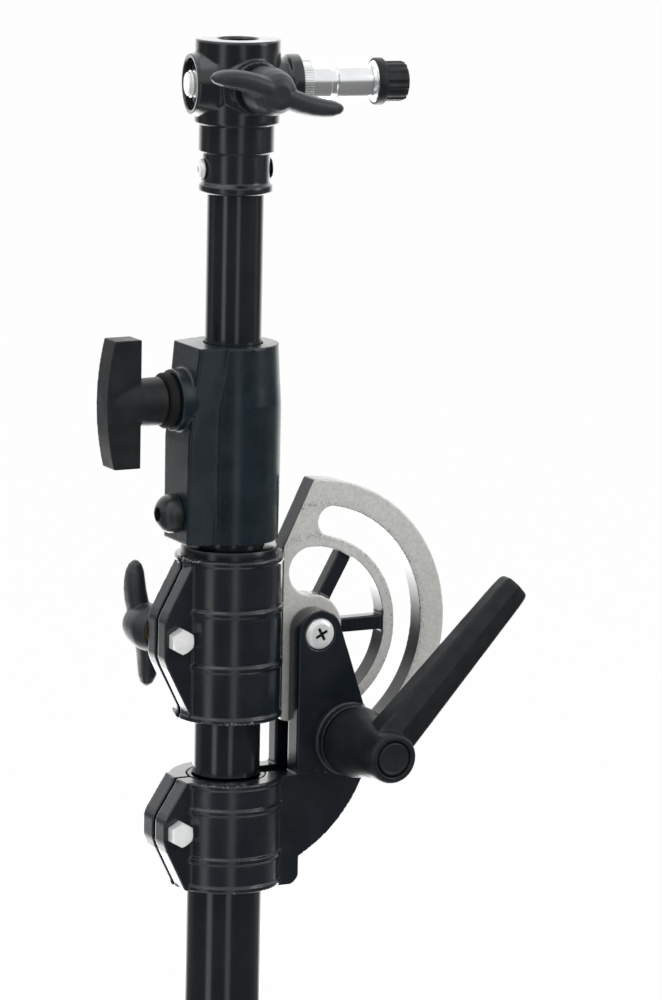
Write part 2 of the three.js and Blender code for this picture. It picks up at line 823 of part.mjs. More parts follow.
// Domed socket screw that holds the casting on the boom tube.
function clampScrew() {
  const dome = [[0, 0], [clampScrewRadius, 0]];
  for (let i = 0; i < domeSteps; i += 1) {
    const angle = (i * Math.PI) / (2 * domeSteps);
    const rise = clampScrewRim + (clampScrewDome - clampScrewRim) * Math.sin(angle);
    dome.push([clampScrewRadius * Math.cos(angle), rise]);
  }
  dome.push([0, clampScrewDome]);
  const head = solidOf(turned(dome, knobSides));
  const shank = solidOf(rod(lockScrewRadius, boomRadius + runningGap - padReach, overrun / 2, smallSides));
  const socketFloor = clampScrewDome - socketDepth;
  const socket = solidOf(prism(hexagon(socketFlats), socketFloor, clampScrewDome + overrun));
  return cut(join(head, shank), socket);
}

// T-knob of the section lock: stem and cross bar, made along -X

function teeKnob() {
  const stemStart = knobBossReach + sealThickness + runningGap;
  const shape = new THREE.Shape();
  shape.moveTo(-teeInner, -teeHalf);
  shape.lineTo(-teeInner, teeHalf);
  shape.lineTo(-teeOuter + teeBulge, teeHalf);
  shape.quadraticCurveTo(-teeOuter - teeBulge, 0, -teeOuter + teeBulge, -teeHalf);
  shape.closePath();
  const bar = solidOf(plate(shape, -teeThickness / 2, teeThickness / 2, bulgeSteps));
  const stem = solidOf(towards('-x', turned(
    [[0, stemStart], [stemRadius, stemStart], [stemEndRadius, teeInner],
      [teeThickness / 2, teeOuter], [0, teeOuter]],
    knobSides,
  )));
  const hole = rod(lockScrewRadius + runningGap, stemStart - overrun, teeInner, smallSides);
  return cut(join(bar, stem), solidOf(towards('-x', hole)));
}

function teeScrew() {
  const shoeEnd = Math.sqrt(boomRadius ** 2 - brakeShoeRadius ** 2);
  return towards('-x', rod(lockScrewRadius, shoeEnd + runningGap, teeInner - runningGap, smallSides));
}

function teeSeal() {
  const inner = lockScrewRadius + runningGap;
  return towards('-x', ring(inner, sealRadius, knobBossReach, knobBossReach + sealThickness, knobSides));
}

// Wing knob about +Z: hub from height 0 and two wings along X that bend opposite ways

// One wing seen along the axis: a bent blade that narrows to its tip.
function wingPlan(halfSpan) {
  const points = [];
  for (const side of [-1, 1]) {
    for (let i = 0; i <= wingSteps; i += 1) {
      const share = side < 0 ? i / wingSteps : 1 - i / wingSteps;
      const middle = -wingCurve * Math.sin(Math.PI * share);
      const half = wingTipHalf + (wingRootHalf - wingTipHalf) * Math.sqrt(1 - share ** 2);
      points.push([halfSpan * share, middle + side * half]);
    }
  }
  return outline(points);
}

function wingKnob(boreRadius, boreDepth, halfSpan) {
  const hub = solidOf(turned(
    [[0, 0], [wingHubBaseRadius, 0], [wingHubRadius, wingHubBelly], [wingHubShoulderRadius, wingHubShoulder],
      [wingHubEndRadius, wingHubLength], [0, wingHubLength]],
    knobSides,
  ));
  const side = new THREE.Shape();
  side.moveTo(0, wingRootLow);
  side.lineTo(halfSpan, wingTipLow);
  side.lineTo(halfSpan, wingHubLength);
  side.quadraticCurveTo(wingBend, wingCrest, 0, wingHubLength);
  side.closePath();
  const room = wingRootHalf + wingCurve;
  const plan = solidOf(prism(wingPlan(halfSpan), 0, wingCrest));
  const wing = solidOf(plate(side, -room, room, bulgeSteps)).intersect(plan);
  const otherWing = wing.scale([-1, -1, 1]);
  const bore = solidOf(rod(boreRadius, -overrun, boreDepth, smallSides));
  return cut(join(hub, wing, otherWing), bore);
}

// Ratchet lever about the lock bolt, made about +Z with its base at height 0

const leverHeight = leverEnd - leverBase;
const shoulderLow = coreLength + edgeRound;
const capSeat = leverHeight - leverCapDepth;

function leverCore() {
  const teeth = solidOf(prism(toothed(coreRadius, coreRadius + toothDepth, toothCount), 0, coreLength));
  const bore = solidOf(rod(boltRadius + runningGap, -overrun, coreLength - coreFloor, smallSides));
  const screwBore = solidOf(rod(leverScrewRadius + runningGap, 0, coreLength + overrun, smallSides));
  return cut(teeth, bore, screwBore);
}

// The arm as a tapered bar with rounded corners, from the hub's axis out along +X.
function leverArm() {
  const shape = new THREE.Shape();
  const rootHalf = armRootWidth / 2;
  const tipHalf = armTipWidth / 2;
  shape.moveTo(0, -rootHalf);
  shape.lineTo(armLength - armCorner, -tipHalf);
  shape.quadraticCurveTo(armLength, -tipHalf, armLength, -tipHalf + armCorner);
  shape.lineTo(armLength, tipHalf - armCorner);
  shape.quadraticCurveTo(armLength, tipHalf, armLength - armCorner, tipHalf);
  shape.lineTo(0, rootHalf);
  shape.closePath();
  const arm = prism(shape, -armRootDepth / 2, armRootDepth / 2, cornerSteps);
  const position = arm.attributes.position;
  for (let i = 0; i < position.count; i += 1) {
    const share = position.getX(i) / armLength;
    const taper = 1 + (armTipDepth / armRootDepth - 1) * share;
    position.setZ(i, position.getZ(i) * taper + armCentre - leverBase);
  }
  return arm;
}

function leverHandle() {
  const hub = solidOf(turned(
    [[0, 0], [leverBaseRadius, 0], [leverRimRadius, leverRimHeight], [leverWaistRadius, leverWaistHeight],
      [leverEndRadius, leverHeight], [0, leverHeight]],
    knobSides,
  ));
  const grooves = toothed(coreRadius + runningGap, coreRadius + toothDepth + runningGap, toothCount);
  const coreBore = solidOf(prism(grooves, -overrun, shoulderLow));
  const clearance = solidOf(rod(leverScrewRadius + 2 * runningGap, 0, leverHeight, smallSides));
  const springFloor = shoulderLow + shoulderThickness;
  const springRoom = rod(leverCapRadius + runningGap, springFloor, leverHeight + overrun, knobSides);
  return cut(join(hub, solidOf(leverArm())), coreBore, clearance, solidOf(springRoom));
}

function leverScrew() {
  return rod(leverScrewRadius, coreLength - coreFloor + runningGap, capSeat, smallSides);
}

function leverCap() {
  return turned(
    [[0, capSeat], [leverCapRadius, capSeat], [leverCapRadius, leverHeight - edgeRound],
      [leverCapFaceRadius, leverHeight], [0, leverHeight]],
    knobSides,
  );
}

// Compression spring between the handle's shoulder and the cap, one unbroken wire.
class SpringPath extends THREE.Curve {
  getPoint(share) {
    const low = shoulderLow + shoulderThickness + springWire / 2 + runningGap;
    const high = capSeat - springWire / 2 - runningGap;
    const angle = share * springTurns * 2 * Math.PI;
    const height = low + (high - low) * share;
    return new THREE.Vector3(springRadius * Math.cos(angle), springRadius * Math.sin(angle), height);
  }
}

function leverSpring() {
  const wire = new THREE.Shape();
  wire.absarc(0, 0, springWire / 2, 0, 2 * Math.PI, false);
  const options = {
    steps: springTurns * springStepsPerTurn,
    curveSegments: wireSteps,
    bevelEnabled: false,
    extrudePath: new SpringPath(),
  };
  return new THREE.ExtrudeGeometry(wire, options);
}

// Head casting: sleeve on the mast, cross bore for the spigot's stud, open socket on top.
// Heights are below the head's top face; +X is the spigot's side and -Y the wing knob's.

function headCasting() {
  const body = solidOf(turned(
    [[0, -rimDrop], [rimRadius - edgeRound, -rimDrop], [rimRadius, -rimDrop + edgeRound],
      [rimRadius, -sleeveDrop], [sleeveRadius, -sleeveDrop + edgeRound],
      [sleeveRadius, -neckDrop], [neckRadius, -neckDrop], [neckRadius, -shoulderDrop],
      [headRadius, -shoulderDrop], [headRadius, 0], [0, 0]],
    castingSides,
  ));
  const across = (direction, shape) => solidOf(towards(direction, shape)).translate([0, 0, -crossDrop]);
  const wingWay = (shape) => across('-y', shape).rotate([0, 0, headWingYawDegrees]);
  const leftBoss = across('-x', turned(
    [[0, 0], [headRadius, 0], [crossBossRadius, bossRootReach],
      [crossBossRadius, crossBossReach], [0, crossBossReach]],
    knobSides,
  ));
  const rightBoss = across('+x', turned(
    [[0, 0], [headRadius, 0], [flangeRootRadius, flangeRootReach],
      [flangeRadius, crossBossReach + edgeRound], [flangeRadius, flangeReach], [0, flangeReach]],
    knobSides,
  ));
  const wingBoss = wingWay(turned(
    [[0, 0], [wingBossRootRadius, 0], [wingBossRadius, bossRootReach],
      [wingBossRadius, wingBossReach], [0, wingBossReach]],
    knobSides,
  ));
  const studRoom = rod(studRadius + runningGap, -crossBossReach - overrun, flangeReach + overrun, knobSides);
  const studBore = across('+x', studRoom);
  const recess = across('-x', rod(crossRecessRadius, crossRecessFloor, crossBossReach + overrun, knobSides));
  const wingHole = wingWay(rod(boltRadius + runningGap, 0, wingBossReach + overrun, smallSides));
  const socket = solidOf(rod(socketRadius, -socketDrop, overrun, knobSides));
  const mastRoof = runningGap - mastSeatDrop;
  const mastBore = solidOf(rod(mastRadius + runningGap, -rimDrop - overrun, mastRoof, castingSides));
  const screwRoom = towards('+x', rod(headScrewShank + runningGap, -neckRadius, neckRadius, smallSides));
  const screwHoles = solidOf(screwRoom).translate([0, 0, -headScrewDrop]);
  const bosses = join(body, leftBoss, rightBoss, wingBoss);
  return cut(bosses, studBore, recess, wingHole, socket, mastBore, screwHoles);
}

// Low round screw that pins the head to the mast, made pointing out along +Z.
function headScrew(headHeight) {
  const seat = sleeveRadius + runningGap;
  const head = turned(
    [[0, seat], [headScrewRadius, seat], [headScrewRadius, seat + headHeight / 2],
      [headScrewFaceRadius, seat + headHeight], [0, seat + headHeight]],
    smallSides,
  );
  const shank = rod(headScrewShank, mastRadius - mastWall - edgeRound, seat + headHeight / 2, smallSides);
  return join(solidOf(head), solidOf(shank));
}

// The mast, with its two holes for the head's screws.
function mastTube() {
  const high = headTop - mastSeatDrop;
  const body = solidOf(ring(mastRadius - mastWall, mastRadius, mastTail, high, tubeSides));
  const half = mastRadius + overrun;
  const yaw = THREE.MathUtils.degToRad(headYawDegrees);
  const across = towards('+x', rod(headScrewShank + runningGap, -half, half, smallSides)).rotateZ(yaw);
  return cut(body, solidOf(across.translate(0, 0, headTop - headScrewDrop)));
}

// Shoe in the mast's tail: its lip slides in the boom tube.
function mastShoe() {
  const lip = boomRadius - boomWall - runningGap;
  const plug = mastRadius - mastWall - runningGap;
  const bore = plug - shoeWall;
  return turned(
    [[bore, -shoeLip], [lip, -shoeLip], [lip, 0], [plug, 0], [plug, shoeDepth], [bore, shoeDepth],
      [bore, -shoeLip]],
    tubeSides,
  );
}

// Spigot, its stud and its cap, made about +Z from the boom's axis outwards

function spigotBody() {
  const bore = studCoreRadius + runningGap;
  const wide = studRadius + runningGap;
  return turned(
    [[wide, spigotSeat], [knurlRadius, spigotSeat], [knurlRadius, knurlEnd], [spigotRadius, knurlEnd],
      [spigotRadius, grooveStart], [grooveRadius, grooveStart], [grooveRadius, grooveEnd],
      [spigotRadius, grooveEnd], [spigotRadius, spigotConeStart], [spigotConeRadius, spigotFlangeStart],
      [spigotFlangeRadius, spigotFlangeStart], [spigotFlangeRadius, spigotEnd], [bore, spigotEnd],
      [bore, knurlEnd], [wide, knurlEnd], [wide, spigotSeat]],
    knobSides,
  );
}

function spigotStud() {
  const step = knurlEnd - runningGap;
  return turned(
    [[0, -studReach], [studRadius - edgeRound, -studReach], [studRadius, -studReach + edgeRound],
      [studRadius, step], [studCoreRadius, step], [studCoreRadius, studCoreEnd], [0, studCoreEnd]],
    knobSides,
  );
}

// The cap is ribbed; its skirt covers the spigot's end flange.
function spigotCap() {
  const skirtInner = spigotFlangeRadius + runningGap;
  const skirtStart = spigotFlangeStart + runningGap;
  const seat = spigotEnd + runningGap;
  const ribs = toothed(capRadius - capRibDepth, capRadius, capRibCount);
  const grip = solidOf(prism(ribs, seat, capEnd - edgeRound));
  const face = solidOf(rod(capRadius - edgeRound, seat, capEnd, knobSides));
  const skirt = solidOf(rod(skirtRadius, skirtStart, seat + edgeRound, knobSides));
  const flangeRoom = solidOf(rod(skirtInner, skirtStart - overrun, seat, knobSides));
  const bore = solidOf(rod(studCoreRadius + runningGap, 0, studCoreEnd + runningGap, smallSides));
  return cut(join(grip, face, skirt), flangeRoom, bore);
}

// Assembly

function columnGroup() {
  const group = new THREE.Group();
  group.add(piece('column_tube', columnTube(), 'tubeBlack'));
  group.add(piece('column_foot', columnFoot(), 'nylon'));
  return group;
}

// Turn a solid made about +Z to point along a horizontal axis.
const turns = {
  '-y': [90, 0, 0],
  '+y': [-90, 0, 0],
  '-x': [0, -90, 0],
  '+x': [0, 90, 0],
};

function pointed(name, shape, finish, direction, x, y, z) {
  const solid = shape.isBufferGeometry ? solidOf(shape) : shape;
  const mesh = piece(name, solid.rotate(turns[direction]), finish);
  mesh.position.set(x, y, z);
  return mesh;
}

function bracketGroup() {
  const clampX = clampBoltInset - earReach;
  const bolt = hexBolt(clampBoltRadius, clampFlats, clampHexHeight, 2 * lowerEarFace + edgeRound);
  const washer = ring(boltRadius + runningGap, washerRadius, 0, washerThickness, smallSides);
  const nut = hexNut(clampBoltRadius + runningGap, clampFlats, clampNutHeight);
  const lockShank = forkBack + washerThickness + leverBase + coreLength - coreFloor - edgeRound;
  const lockBolt = hexBolt(boltRadius, hexFlats, hexHeight, lockShank);
  const thrustDepth = leverBase - forkFront - forkBossHeight - runningGap;
  const thrust = ring(boltRadius + runningGap, washerRadius + edgeRound, 0, thrustDepth, smallSides);
  const pivotNut = hexNut(boltRadius + runningGap, hexFlats, nutHeight);
  return groupAt(
    0, 0, 0,
    groupAt(0, 0, lowerBottom, piece('swivel_bracket', swivelBracket(), 'castBlack')),
    groupAt(0, 0, lowerBottom + lowerHeight, piece('collar_mouth_bush', mouthBush(), 'nylon')),
    pointed('lower_clamp_bolt', bolt, 'zinc', '-y', clampX, -lowerEarFace, lowerEarCentre),
    pointed('lower_clamp_nut', nut, 'zinc', '+y', clampX, lowerEarFace - nutSink, lowerEarCentre),
    pointed('pivot_screw', pivotScrew(), 'zinc', '-y', pivotX, -forkFront + pivotSeatDepth, pivotZ),
    pointed('pivot_nut', pivotNut, 'zinc', '+y', pivotX, forkBack, pivotZ),
    pointed('lock_bolt', lockBolt, 'zinc', '+y', boltX, forkBack + washerThickness, boltZ),
    pointed('lock_washer', washer, 'zinc', '+y', boltX, forkBack, boltZ),
    pointed('lever_thrust_washer', thrust, 'zinc', '-y', boltX, -forkFront - forkBossHeight, boltZ),
  );
}

function leverGroup() {
  const group = groupAt(
    boltX, -leverBase, boltZ,
    pointed('lever_core', leverCore(), 'steel', '-y', 0, 0, 0),
    pointed('lever_screw', leverScrew(), 'zinc', '-y', 0, 0, 0),
    pointed('lever_cap', leverCap(), 'plasticBlack', '-y', 0, 0, 0),
    pointed('lever_spring', leverSpring(), 'steel', '-y', 0, 0, 0),
    pointed('lever_handle', leverHandle(), 'plasticBlack', '-y', 0, 0, 0),
  );
  group.rotation.y = -THREE.MathUtils.degToRad(armDegrees);
  return group;
}

function swivelGroup() {
  const clampX = clampBoltInset - earReach;
  const wingSeat = upperEarFace + washerThickness + runningGap;
  const insertDepth = wingHubLength - wingHubFloor;
  const shank = upperEarFace + wingSeat + insertDepth - runningGap;
  const insertRadius = clampBoltRadius + runningGap + wingInsertWall;
  const bolt = hexBolt(clampBoltRadius, clampFlats, clampHexHeight, shank);
  const washer = ring(clampBoltRadius + runningGap, clampWasherRadius, 0, washerThickness, smallSides);
  const insert = ring(clampBoltRadius + runningGap, insertRadius, 0, insertDepth, smallSides);
  const knob = wingKnob(insertRadius + runningGap, insertDepth + runningGap, collarWingSpan)
    .rotate([0, 0, collarWingDegrees]);
  return groupAt(
    0, 0, 0,
    groupAt(
      0, 0, upperBottom,
      piece('tilt_sector', tiltSector(), 'bareCast'),
      piece('collar_liner', collarLiner(), 'nylon'),
    ),
    groupAt(pivotX, 0, pivotZ, piece('pivot_bush', pivotBush(), 'brass')),
    pointed('upper_clamp_bolt', bolt, 'zinc', '-y', clampX, -upperEarFace, upperEarCentre),
    pointed('wing_washer', washer, 'zinc', '+y', clampX, upperEarFace, upperEarCentre),
    pointed('collar_wing_insert', insert, 'brass', '+y', clampX, wingSeat, upperEarCentre),
    pointed('collar_wing_knob', knob, 'plasticBlack', '+y', clampX, wingSeat, upperEarCentre),
  );
}

function boomGroup() {
  const tube = ring(boomRadius - boomWall, boomRadius, boomTail, boomTop, tubeSides);
  return groupAt(
    0, 0, 0,
    piece('boom_tube', tube, 'tubeBlack'),
    groupAt(
      0, 0, lockBottom,
      piece('section_lock', lockBody(), 'slateCast'),
      piece('mast_bush', mastBush(), 'nylon'),
    ),
    pointed('section_clamp_screw', clampScrew(), 'plasticBlack', '-x', -padReach, 0, clampScrewHeight),
    groupAt(0, 0, knobHeight, piece('brake_shoe', brakeShoe(), 'brass')),
  );
}

function teeGroup() {
  return groupAt(
    0, 0, knobHeight,
    piece('tee_knob', teeKnob(), 'plasticBlack'),
    piece('tee_screw', teeScrew(), 'zinc'),
    piece('tee_seal', teeSeal(), 'rubber'),
  );
}

function headGroup() {
  const wingSeat = wingBossReach + runningGap;
  const screwDepth = wingHubLength - wingHubFloor;
  const wingScrew = rod(boltRadius, studRadius + 3 * runningGap - wingSeat, screwDepth, smallSides);
  const knob = wingKnob(boltRadius + runningGap, screwDepth + runningGap, headWingSpan)
    .rotate([0, 0, headWingDegrees]);
  const wing = groupAt(
    0, 0, -crossDrop,
    pointed('head_wing_screw', wingScrew, 'zinc', '-y', 0, -wingSeat, 0),
    pointed('head_wing_knob', knob, 'plasticBlack', '-y', 0, -wingSeat, 0),
  );
  wing.rotation.z = THREE.MathUtils.degToRad(headWingYawDegrees);
  const group = groupAt(
    0, 0, headTop,
    piece('head_casting', headCasting(), 'castBlack'),
    pointed('head_screw_left', headScrew(headScrewRise), 'zinc', '-x', 0, 0, -headScrewDrop),
    pointed('head_screw_right', headScrew(headScrewLowRise), 'steel', '+x', 0, 0, -headScrewDrop),
    wing,
    pointed('spigot_stud', spigotStud(), 'zinc', '+x', 0, 0, -crossDrop),
    pointed('spigot', spigotBody(), 'aluminium', '+x', 0, 0, -crossDrop),
    pointed('spigot_cap', spigotCap(), 'plasticBlack', '+x', 0, 0, -crossDrop),
  );
  group.rotation.z = THREE.MathUtils.degToRad(headYawDegrees);
  return group;
}

function mastGroup() {
  return groupAt(
    0, 0, 0,
    piece('mast_tube', mastTube(), 'tubeBlack'),
    groupAt(0, 0, mastTail, piece('mast_shoe', mastShoe(), 'nylon')),
    headGroup(),
  );
}

const boomArm = new THREE.Group();
boomArm.add(columnGroup(), bracketGroup(), leverGroup(), swivelGroup(), boomGroup(), teeGroup(), mastGroup());

export default boomArm;
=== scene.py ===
"""Overhead boom arm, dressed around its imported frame.

Sizes are in millimetres in the sub-assemblies and become metres where a mesh is made.
+Z is up along the column, +X points to the tilt pivot and -Y is the side of the ratchet lever.
"""

from __future__ import annotations

import logging
import math
from dataclasses import dataclass, field
from enum import Enum
from typing import Sequence

import bmesh
import bpy
from mathutils import Matrix, Vector

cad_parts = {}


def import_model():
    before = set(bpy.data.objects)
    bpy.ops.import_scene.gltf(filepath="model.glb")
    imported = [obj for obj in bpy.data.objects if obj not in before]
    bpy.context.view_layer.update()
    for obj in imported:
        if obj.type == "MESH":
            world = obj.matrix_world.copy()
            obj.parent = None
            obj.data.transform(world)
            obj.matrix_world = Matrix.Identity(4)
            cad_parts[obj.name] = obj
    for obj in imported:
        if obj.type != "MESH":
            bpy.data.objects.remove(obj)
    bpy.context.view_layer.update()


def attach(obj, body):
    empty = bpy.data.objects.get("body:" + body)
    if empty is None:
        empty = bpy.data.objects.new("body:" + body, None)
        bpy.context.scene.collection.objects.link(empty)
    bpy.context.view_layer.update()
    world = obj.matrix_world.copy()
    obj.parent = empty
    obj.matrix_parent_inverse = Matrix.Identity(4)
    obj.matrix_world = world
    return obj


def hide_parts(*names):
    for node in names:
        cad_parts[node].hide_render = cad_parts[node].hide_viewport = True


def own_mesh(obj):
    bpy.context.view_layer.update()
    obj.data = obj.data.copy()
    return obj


Ring = tuple[float, float]
Point = tuple[float, float]
Triple = tuple[float, float, float]
Colour = tuple[float, float, float]
Sections = Sequence[Sequence[Triple]]
Piece = bpy.types.Object
Socket = bpy.types.NodeSocket

MM = 0.001
GAP = 0.3  # the play between pieces, in millimetres
OVER = 2.0  # how far a tool reaches past what it cuts, in millimetres
WELD = 0.002 * MM  # points closer than this become one
log = logging.getLogger("boom_arm")


def rotation(degrees: float, axis: str) -> Matrix:
    """A turn about one of the main axes."""
    return Matrix.Rotation(math.radians(degrees), 4, axis)


def translation(at: Triple) -> Matrix:
    """A move, given in millimetres."""
    return Matrix.Translation(Vector(at) * MM)


def linked(name: str, data: bpy.types.ID) -> Piece:
    """A new object with its data, in the scene."""
    made = bpy.data.objects.new(name, data)
    bpy.context.scene.collection.objects.link(made)
    return made


class Facing(Enum):
    """How a piece made about +Z is turned, in degrees about X, Y and Z."""

    UP = (0.0, 0.0, 0.0)
    FRONT = (90.0, 0.0, 0.0)
    BACK = (-90.0, 0.0, 0.0)
    LEFT = (0.0, -90.0, 0.0)
    RIGHT = (0.0, 90.0, 0.0)


class Joining(Enum):
    """How two meshes become one."""

    CUT = "DIFFERENCE"
    WELD = "UNION"
    SHARED = "INTERSECT"


class Body(Enum):
    """The frame's moving bodies."""

    COLUMN = "column"
    LEVER_CORE = "lever_core"
    LEVER_HANDLE = "lever_handle"
    SWIVEL = "swivel"
    COLLAR_WING = "collar_wing"
    BOOM = "boom"
    TEE_KNOB = "tee_knob"
    MAST = "mast"
    HEAD_WING = "head_wing"
    SPIGOT = "spigot"
    SPIGOT_CAP = "spigot_cap"


class Bench:
    """The modelling steps, each done with Blender's own operators."""

    @staticmethod
    def only(*pieces: Piece) -> None:
        """Select these pieces alone, with the first one active.

        Args:
            pieces: What to select; nothing clears the selection.
        """
        if bpy.context.mode != "OBJECT":
            bpy.ops.object.mode_set(mode="OBJECT")
        bpy.ops.object.select_all(action="DESELECT")
        for piece in pieces:
            piece.select_set(True)
        if pieces:
            bpy.context.view_layer.objects.active = pieces[0]

    @staticmethod
    def modified(piece: Piece, kind: str, **settings: object) -> Piece:
        """Give a piece a modifier, set it and apply it."""
        modifier = piece.modifiers.new(kind.lower(), kind)
        for name, value in settings.items():
            setattr(modifier, name, value)
        Bench.only(piece)
        bpy.ops.object.modifier_apply(modifier=modifier.name)
        return piece

    @staticmethod
    def closed(piece: Piece, name: str) -> Piece:
        """Merge doubles, turn the faces outwards and name the piece.

        Args:
            piece: The mesh, in edit mode.
            name: The piece's name.

        Returns:
            The piece, in object mode.
        """
        bpy.ops.mesh.select_all(action="SELECT")
        bpy.ops.mesh.remove_doubles(threshold=WELD)
        bpy.ops.mesh.normals_make_consistent(inside=False)
        bpy.ops.object.mode_set(mode="OBJECT")
        bpy.ops.object.transform_apply(location=True, rotation=True, scale=True)
        piece.name = name
        piece.data.name = name
        return piece

    @staticmethod
    def turned(name: str, rings: Sequence[Ring], hollow: bool = False, sides: int = 96) -> Piece:
        """Turn a form about +Z by extruding a circle from ring to ring.

        Args:
            name: The piece's name.
            rings: Radius and height of each ring, in millimetres.
            hollow: Whether the rings close on themselves round a bore.
            sides: Corners of the circle.

        Returns:
            The turned piece.
        """
        Bench.only()
        radius, height = rings[0]
        bpy.ops.mesh.primitive_circle_add(
            vertices=sides, radius=radius * MM, fill_type="NOTHING" if hollow else "NGON",
            location=(0, 0, height * MM))
        piece = bpy.context.active_object
        bpy.ops.object.mode_set(mode="EDIT")
        bpy.ops.mesh.select_all(action="SELECT")
        path = list(rings[1:]) + (list(rings[:1]) if hollow else [])
        for next_radius, next_height in path:
            rise = (0, 0, (next_height - height) * MM)
            bpy.ops.mesh.extrude_region_move(TRANSFORM_OT_translate={"value": rise})
            share = next_radius / radius
            if share != 1:
                centre = (0, 0, next_height * MM)
                bpy.ops.transform.resize(value=(share, share, 1), center_override=centre)
            radius, height = next_radius, next_height
        return Bench.closed(piece, name)

    @staticmethod
    def rod(name: str, radius: float, low: float, high: float, sides: int = 96) -> Piece:
        """A plain round bar about +Z from one height to another."""
        return Bench.turned(name, [(radius, low), (radius, high)], sides=sides)

    @staticmethod
    def pipe(name: str, radii: Ring, low: float, high: float, edge: float = 0.4, sides: int = 128) -> Piece:
        """A tube about +Z with eased rims.

        Args:
            name: The piece's name.
            radii: The outer and the inner radius, in millimetres.
            low: Its lower end.
            high: Its upper end.
            edge: The easing of its rims.
            sides: Corners of the circle.

        Returns:
            The tube, smooth but for its rims.
        """
        outer, inner = radii
        rings = [(outer - edge, low), (outer, low + edge), (outer, high - edge), (outer - edge, high),
                 (inner + edge, high), (inner, high - edge), (inner, low + edge), (inner + edge, low)]
        return Bench.smooth(Bench.turned(name, rings, hollow=True, sides=sides))

    @staticmethod
    def lofted(name: str, sections: Sections) -> Piece:
        """Extrude an outline from one cross section to the next.

        Args:
            name: The piece's name.
            sections: Outlines with the same number of corners, in millimetres.

        Returns:
            The closed form.
        """
        Bench.only()
        bpy.ops.mesh.primitive_circle_add(vertices=len(sections[0]), radius=1, fill_type="NGON")
        piece = bpy.context.active_object
        corners = [Vector(point) * MM for point in sections[0]]
        for vertex, corner in zip(piece.data.vertices, corners):
            vertex.co = corner
        bpy.ops.object.mode_set(mode="EDIT")
        bpy.ops.mesh.select_all(action="SELECT")
        for section in sections[1:]:
            bpy.ops.mesh.extrude_region_move()
            mesh = bmesh.from_edit_mesh(piece.data)
            targets = [Vector(point) * MM for point in section]
            for vertex in [v for v in mesh.verts if v.select]:
                nearest = min(range(len(corners)), key=lambda i: (corners[i] - vertex.co).length_squared)
                vertex.co = targets[nearest]
            bmesh.update_edit_mesh(piece.data)
            corners = targets
        return Bench.closed(piece, name)

    @staticmethod
    def plate(name: str, outline: Sequence[Point], low: float, high: float) -> Piece:
        """Extrude a flat outline in X and Y from one height to another."""
        return Bench.lofted(name, [[(x, y, low) for x, y in outline], [(x, y, high) for x, y in outline]])

    @staticmethod
    def slab(name: str, outline: Sequence[Point], front: float, back: float) -> Piece:
        """Extrude a flat outline in X and Z from y = front to y = back."""
        return Bench.lofted(name, [[(x, front, z) for x, z in outline], [(x, back, z) for x, z in outline]])

    @staticmethod
    def block(name: str, low: Triple, high: Triple) -> Piece:
        """A rectangular block between two corners."""
        outline = [(low[0], low[1]), (high[0], low[1]), (high[0], high[1]), (low[0], high[1])]
        return Bench.plate(name, outline, low[2], high[2])

    @staticmethod
    def moved(piece: Piece, matrix: Matrix) -> Piece:
        """Move and turn a piece, and apply both to its mesh."""
        piece.matrix_world = matrix
        Bench.only(piece)
        bpy.ops.object.transform_apply(location=True, rotation=True, scale=True)
        return piece

    @staticmethod
    def placed(
        piece: Piece, facing: Facing = Facing.UP, at: Triple = (0.0, 0.0, 0.0), roll: float = 0.0
    ) -> Piece:
        """Turn a piece about the main axes and move it to its place.

        Args:
            piece: The piece, made about +Z.
            facing: Where its +Z goes.
            at: Where its origin goes, in millimetres.
            roll: A first turn about +Z, in degrees.

        Returns:
            The piece.
        """
        turn = Matrix.Identity(4)
        for degrees, axis in zip(facing.value, "XYZ"):
            turn = rotation(degrees, axis) @ turn
        return Bench.moved(piece, translation(at) @ turn @ rotation(roll, "Z"))

    @staticmethod
    def combined(piece: Piece, joining: Joining, *others: Piece) -> Piece:
        """Cut, weld or intersect a piece with others, which are used up.

        Args:
            piece: The piece that stays.
            joining: What is done with the others.
            others: The tools or parts.

        Returns:
            The piece.
        """
        for other in others:
            Bench.modified(piece, "BOOLEAN", operation=joining.value, solver="EXACT", object=other)
            bpy.data.objects.remove(other)
        return piece

    @staticmethod
    def eased(piece: Piece, width: float, degrees: float) -> Piece:
        """Round a piece's sharp edges.

        Args:
            piece: The piece.
            width: The rounding's width, in millimetres.
            degrees: The least angle that counts as an edge.

        Returns:
            The piece, smooth but for its sharp edges.
        """
        Bench.modified(piece, "BEVEL", width=width * MM, segments=2, limit_method="ANGLE",
                       angle_limit=math.radians(degrees))
        return Bench.smooth(piece)

    @staticmethod
    def smooth(piece: Piece, degrees: float = 40) -> Piece:
        """Shade a piece smooth up to an angle."""
        Bench.only(piece)
        bpy.ops.object.shade_smooth_by_angle(angle=math.radians(degrees))
        return piece

    @staticmethod
    def cast(piece: Piece, grain: float, passes: int) -> Piece:
        """Give a piece the soft edges and fillets of a casting or a moulding.

        Args:
            piece: The piece.
            grain: The size of the new mesh's faces, in millimetres.
            passes: How often the new mesh is smoothed.

        Returns:
            The piece.
        """
        Bench.modified(piece, "REMESH", mode="VOXEL", voxel_size=grain * MM)
        Bench.modified(piece, "SMOOTH", factor=0.5, iterations=passes)
        bpy.ops.object.shade_smooth()
        return piece

    @staticmethod
    def copied(name: str, node: str) -> Piece:
        """A copy of one of the frame's nodes, with its doubles merged."""
        source = bpy.data.objects[node]
        piece = Bench.moved(linked(name, source.data.copy()), source.matrix_world.copy())
        bpy.ops.object.mode_set(mode="EDIT")
        bpy.ops.mesh.select_all(action="SELECT")
        bpy.ops.mesh.remove_doubles(threshold=WELD)
        bpy.ops.object.mode_set(mode="OBJECT")
        return piece


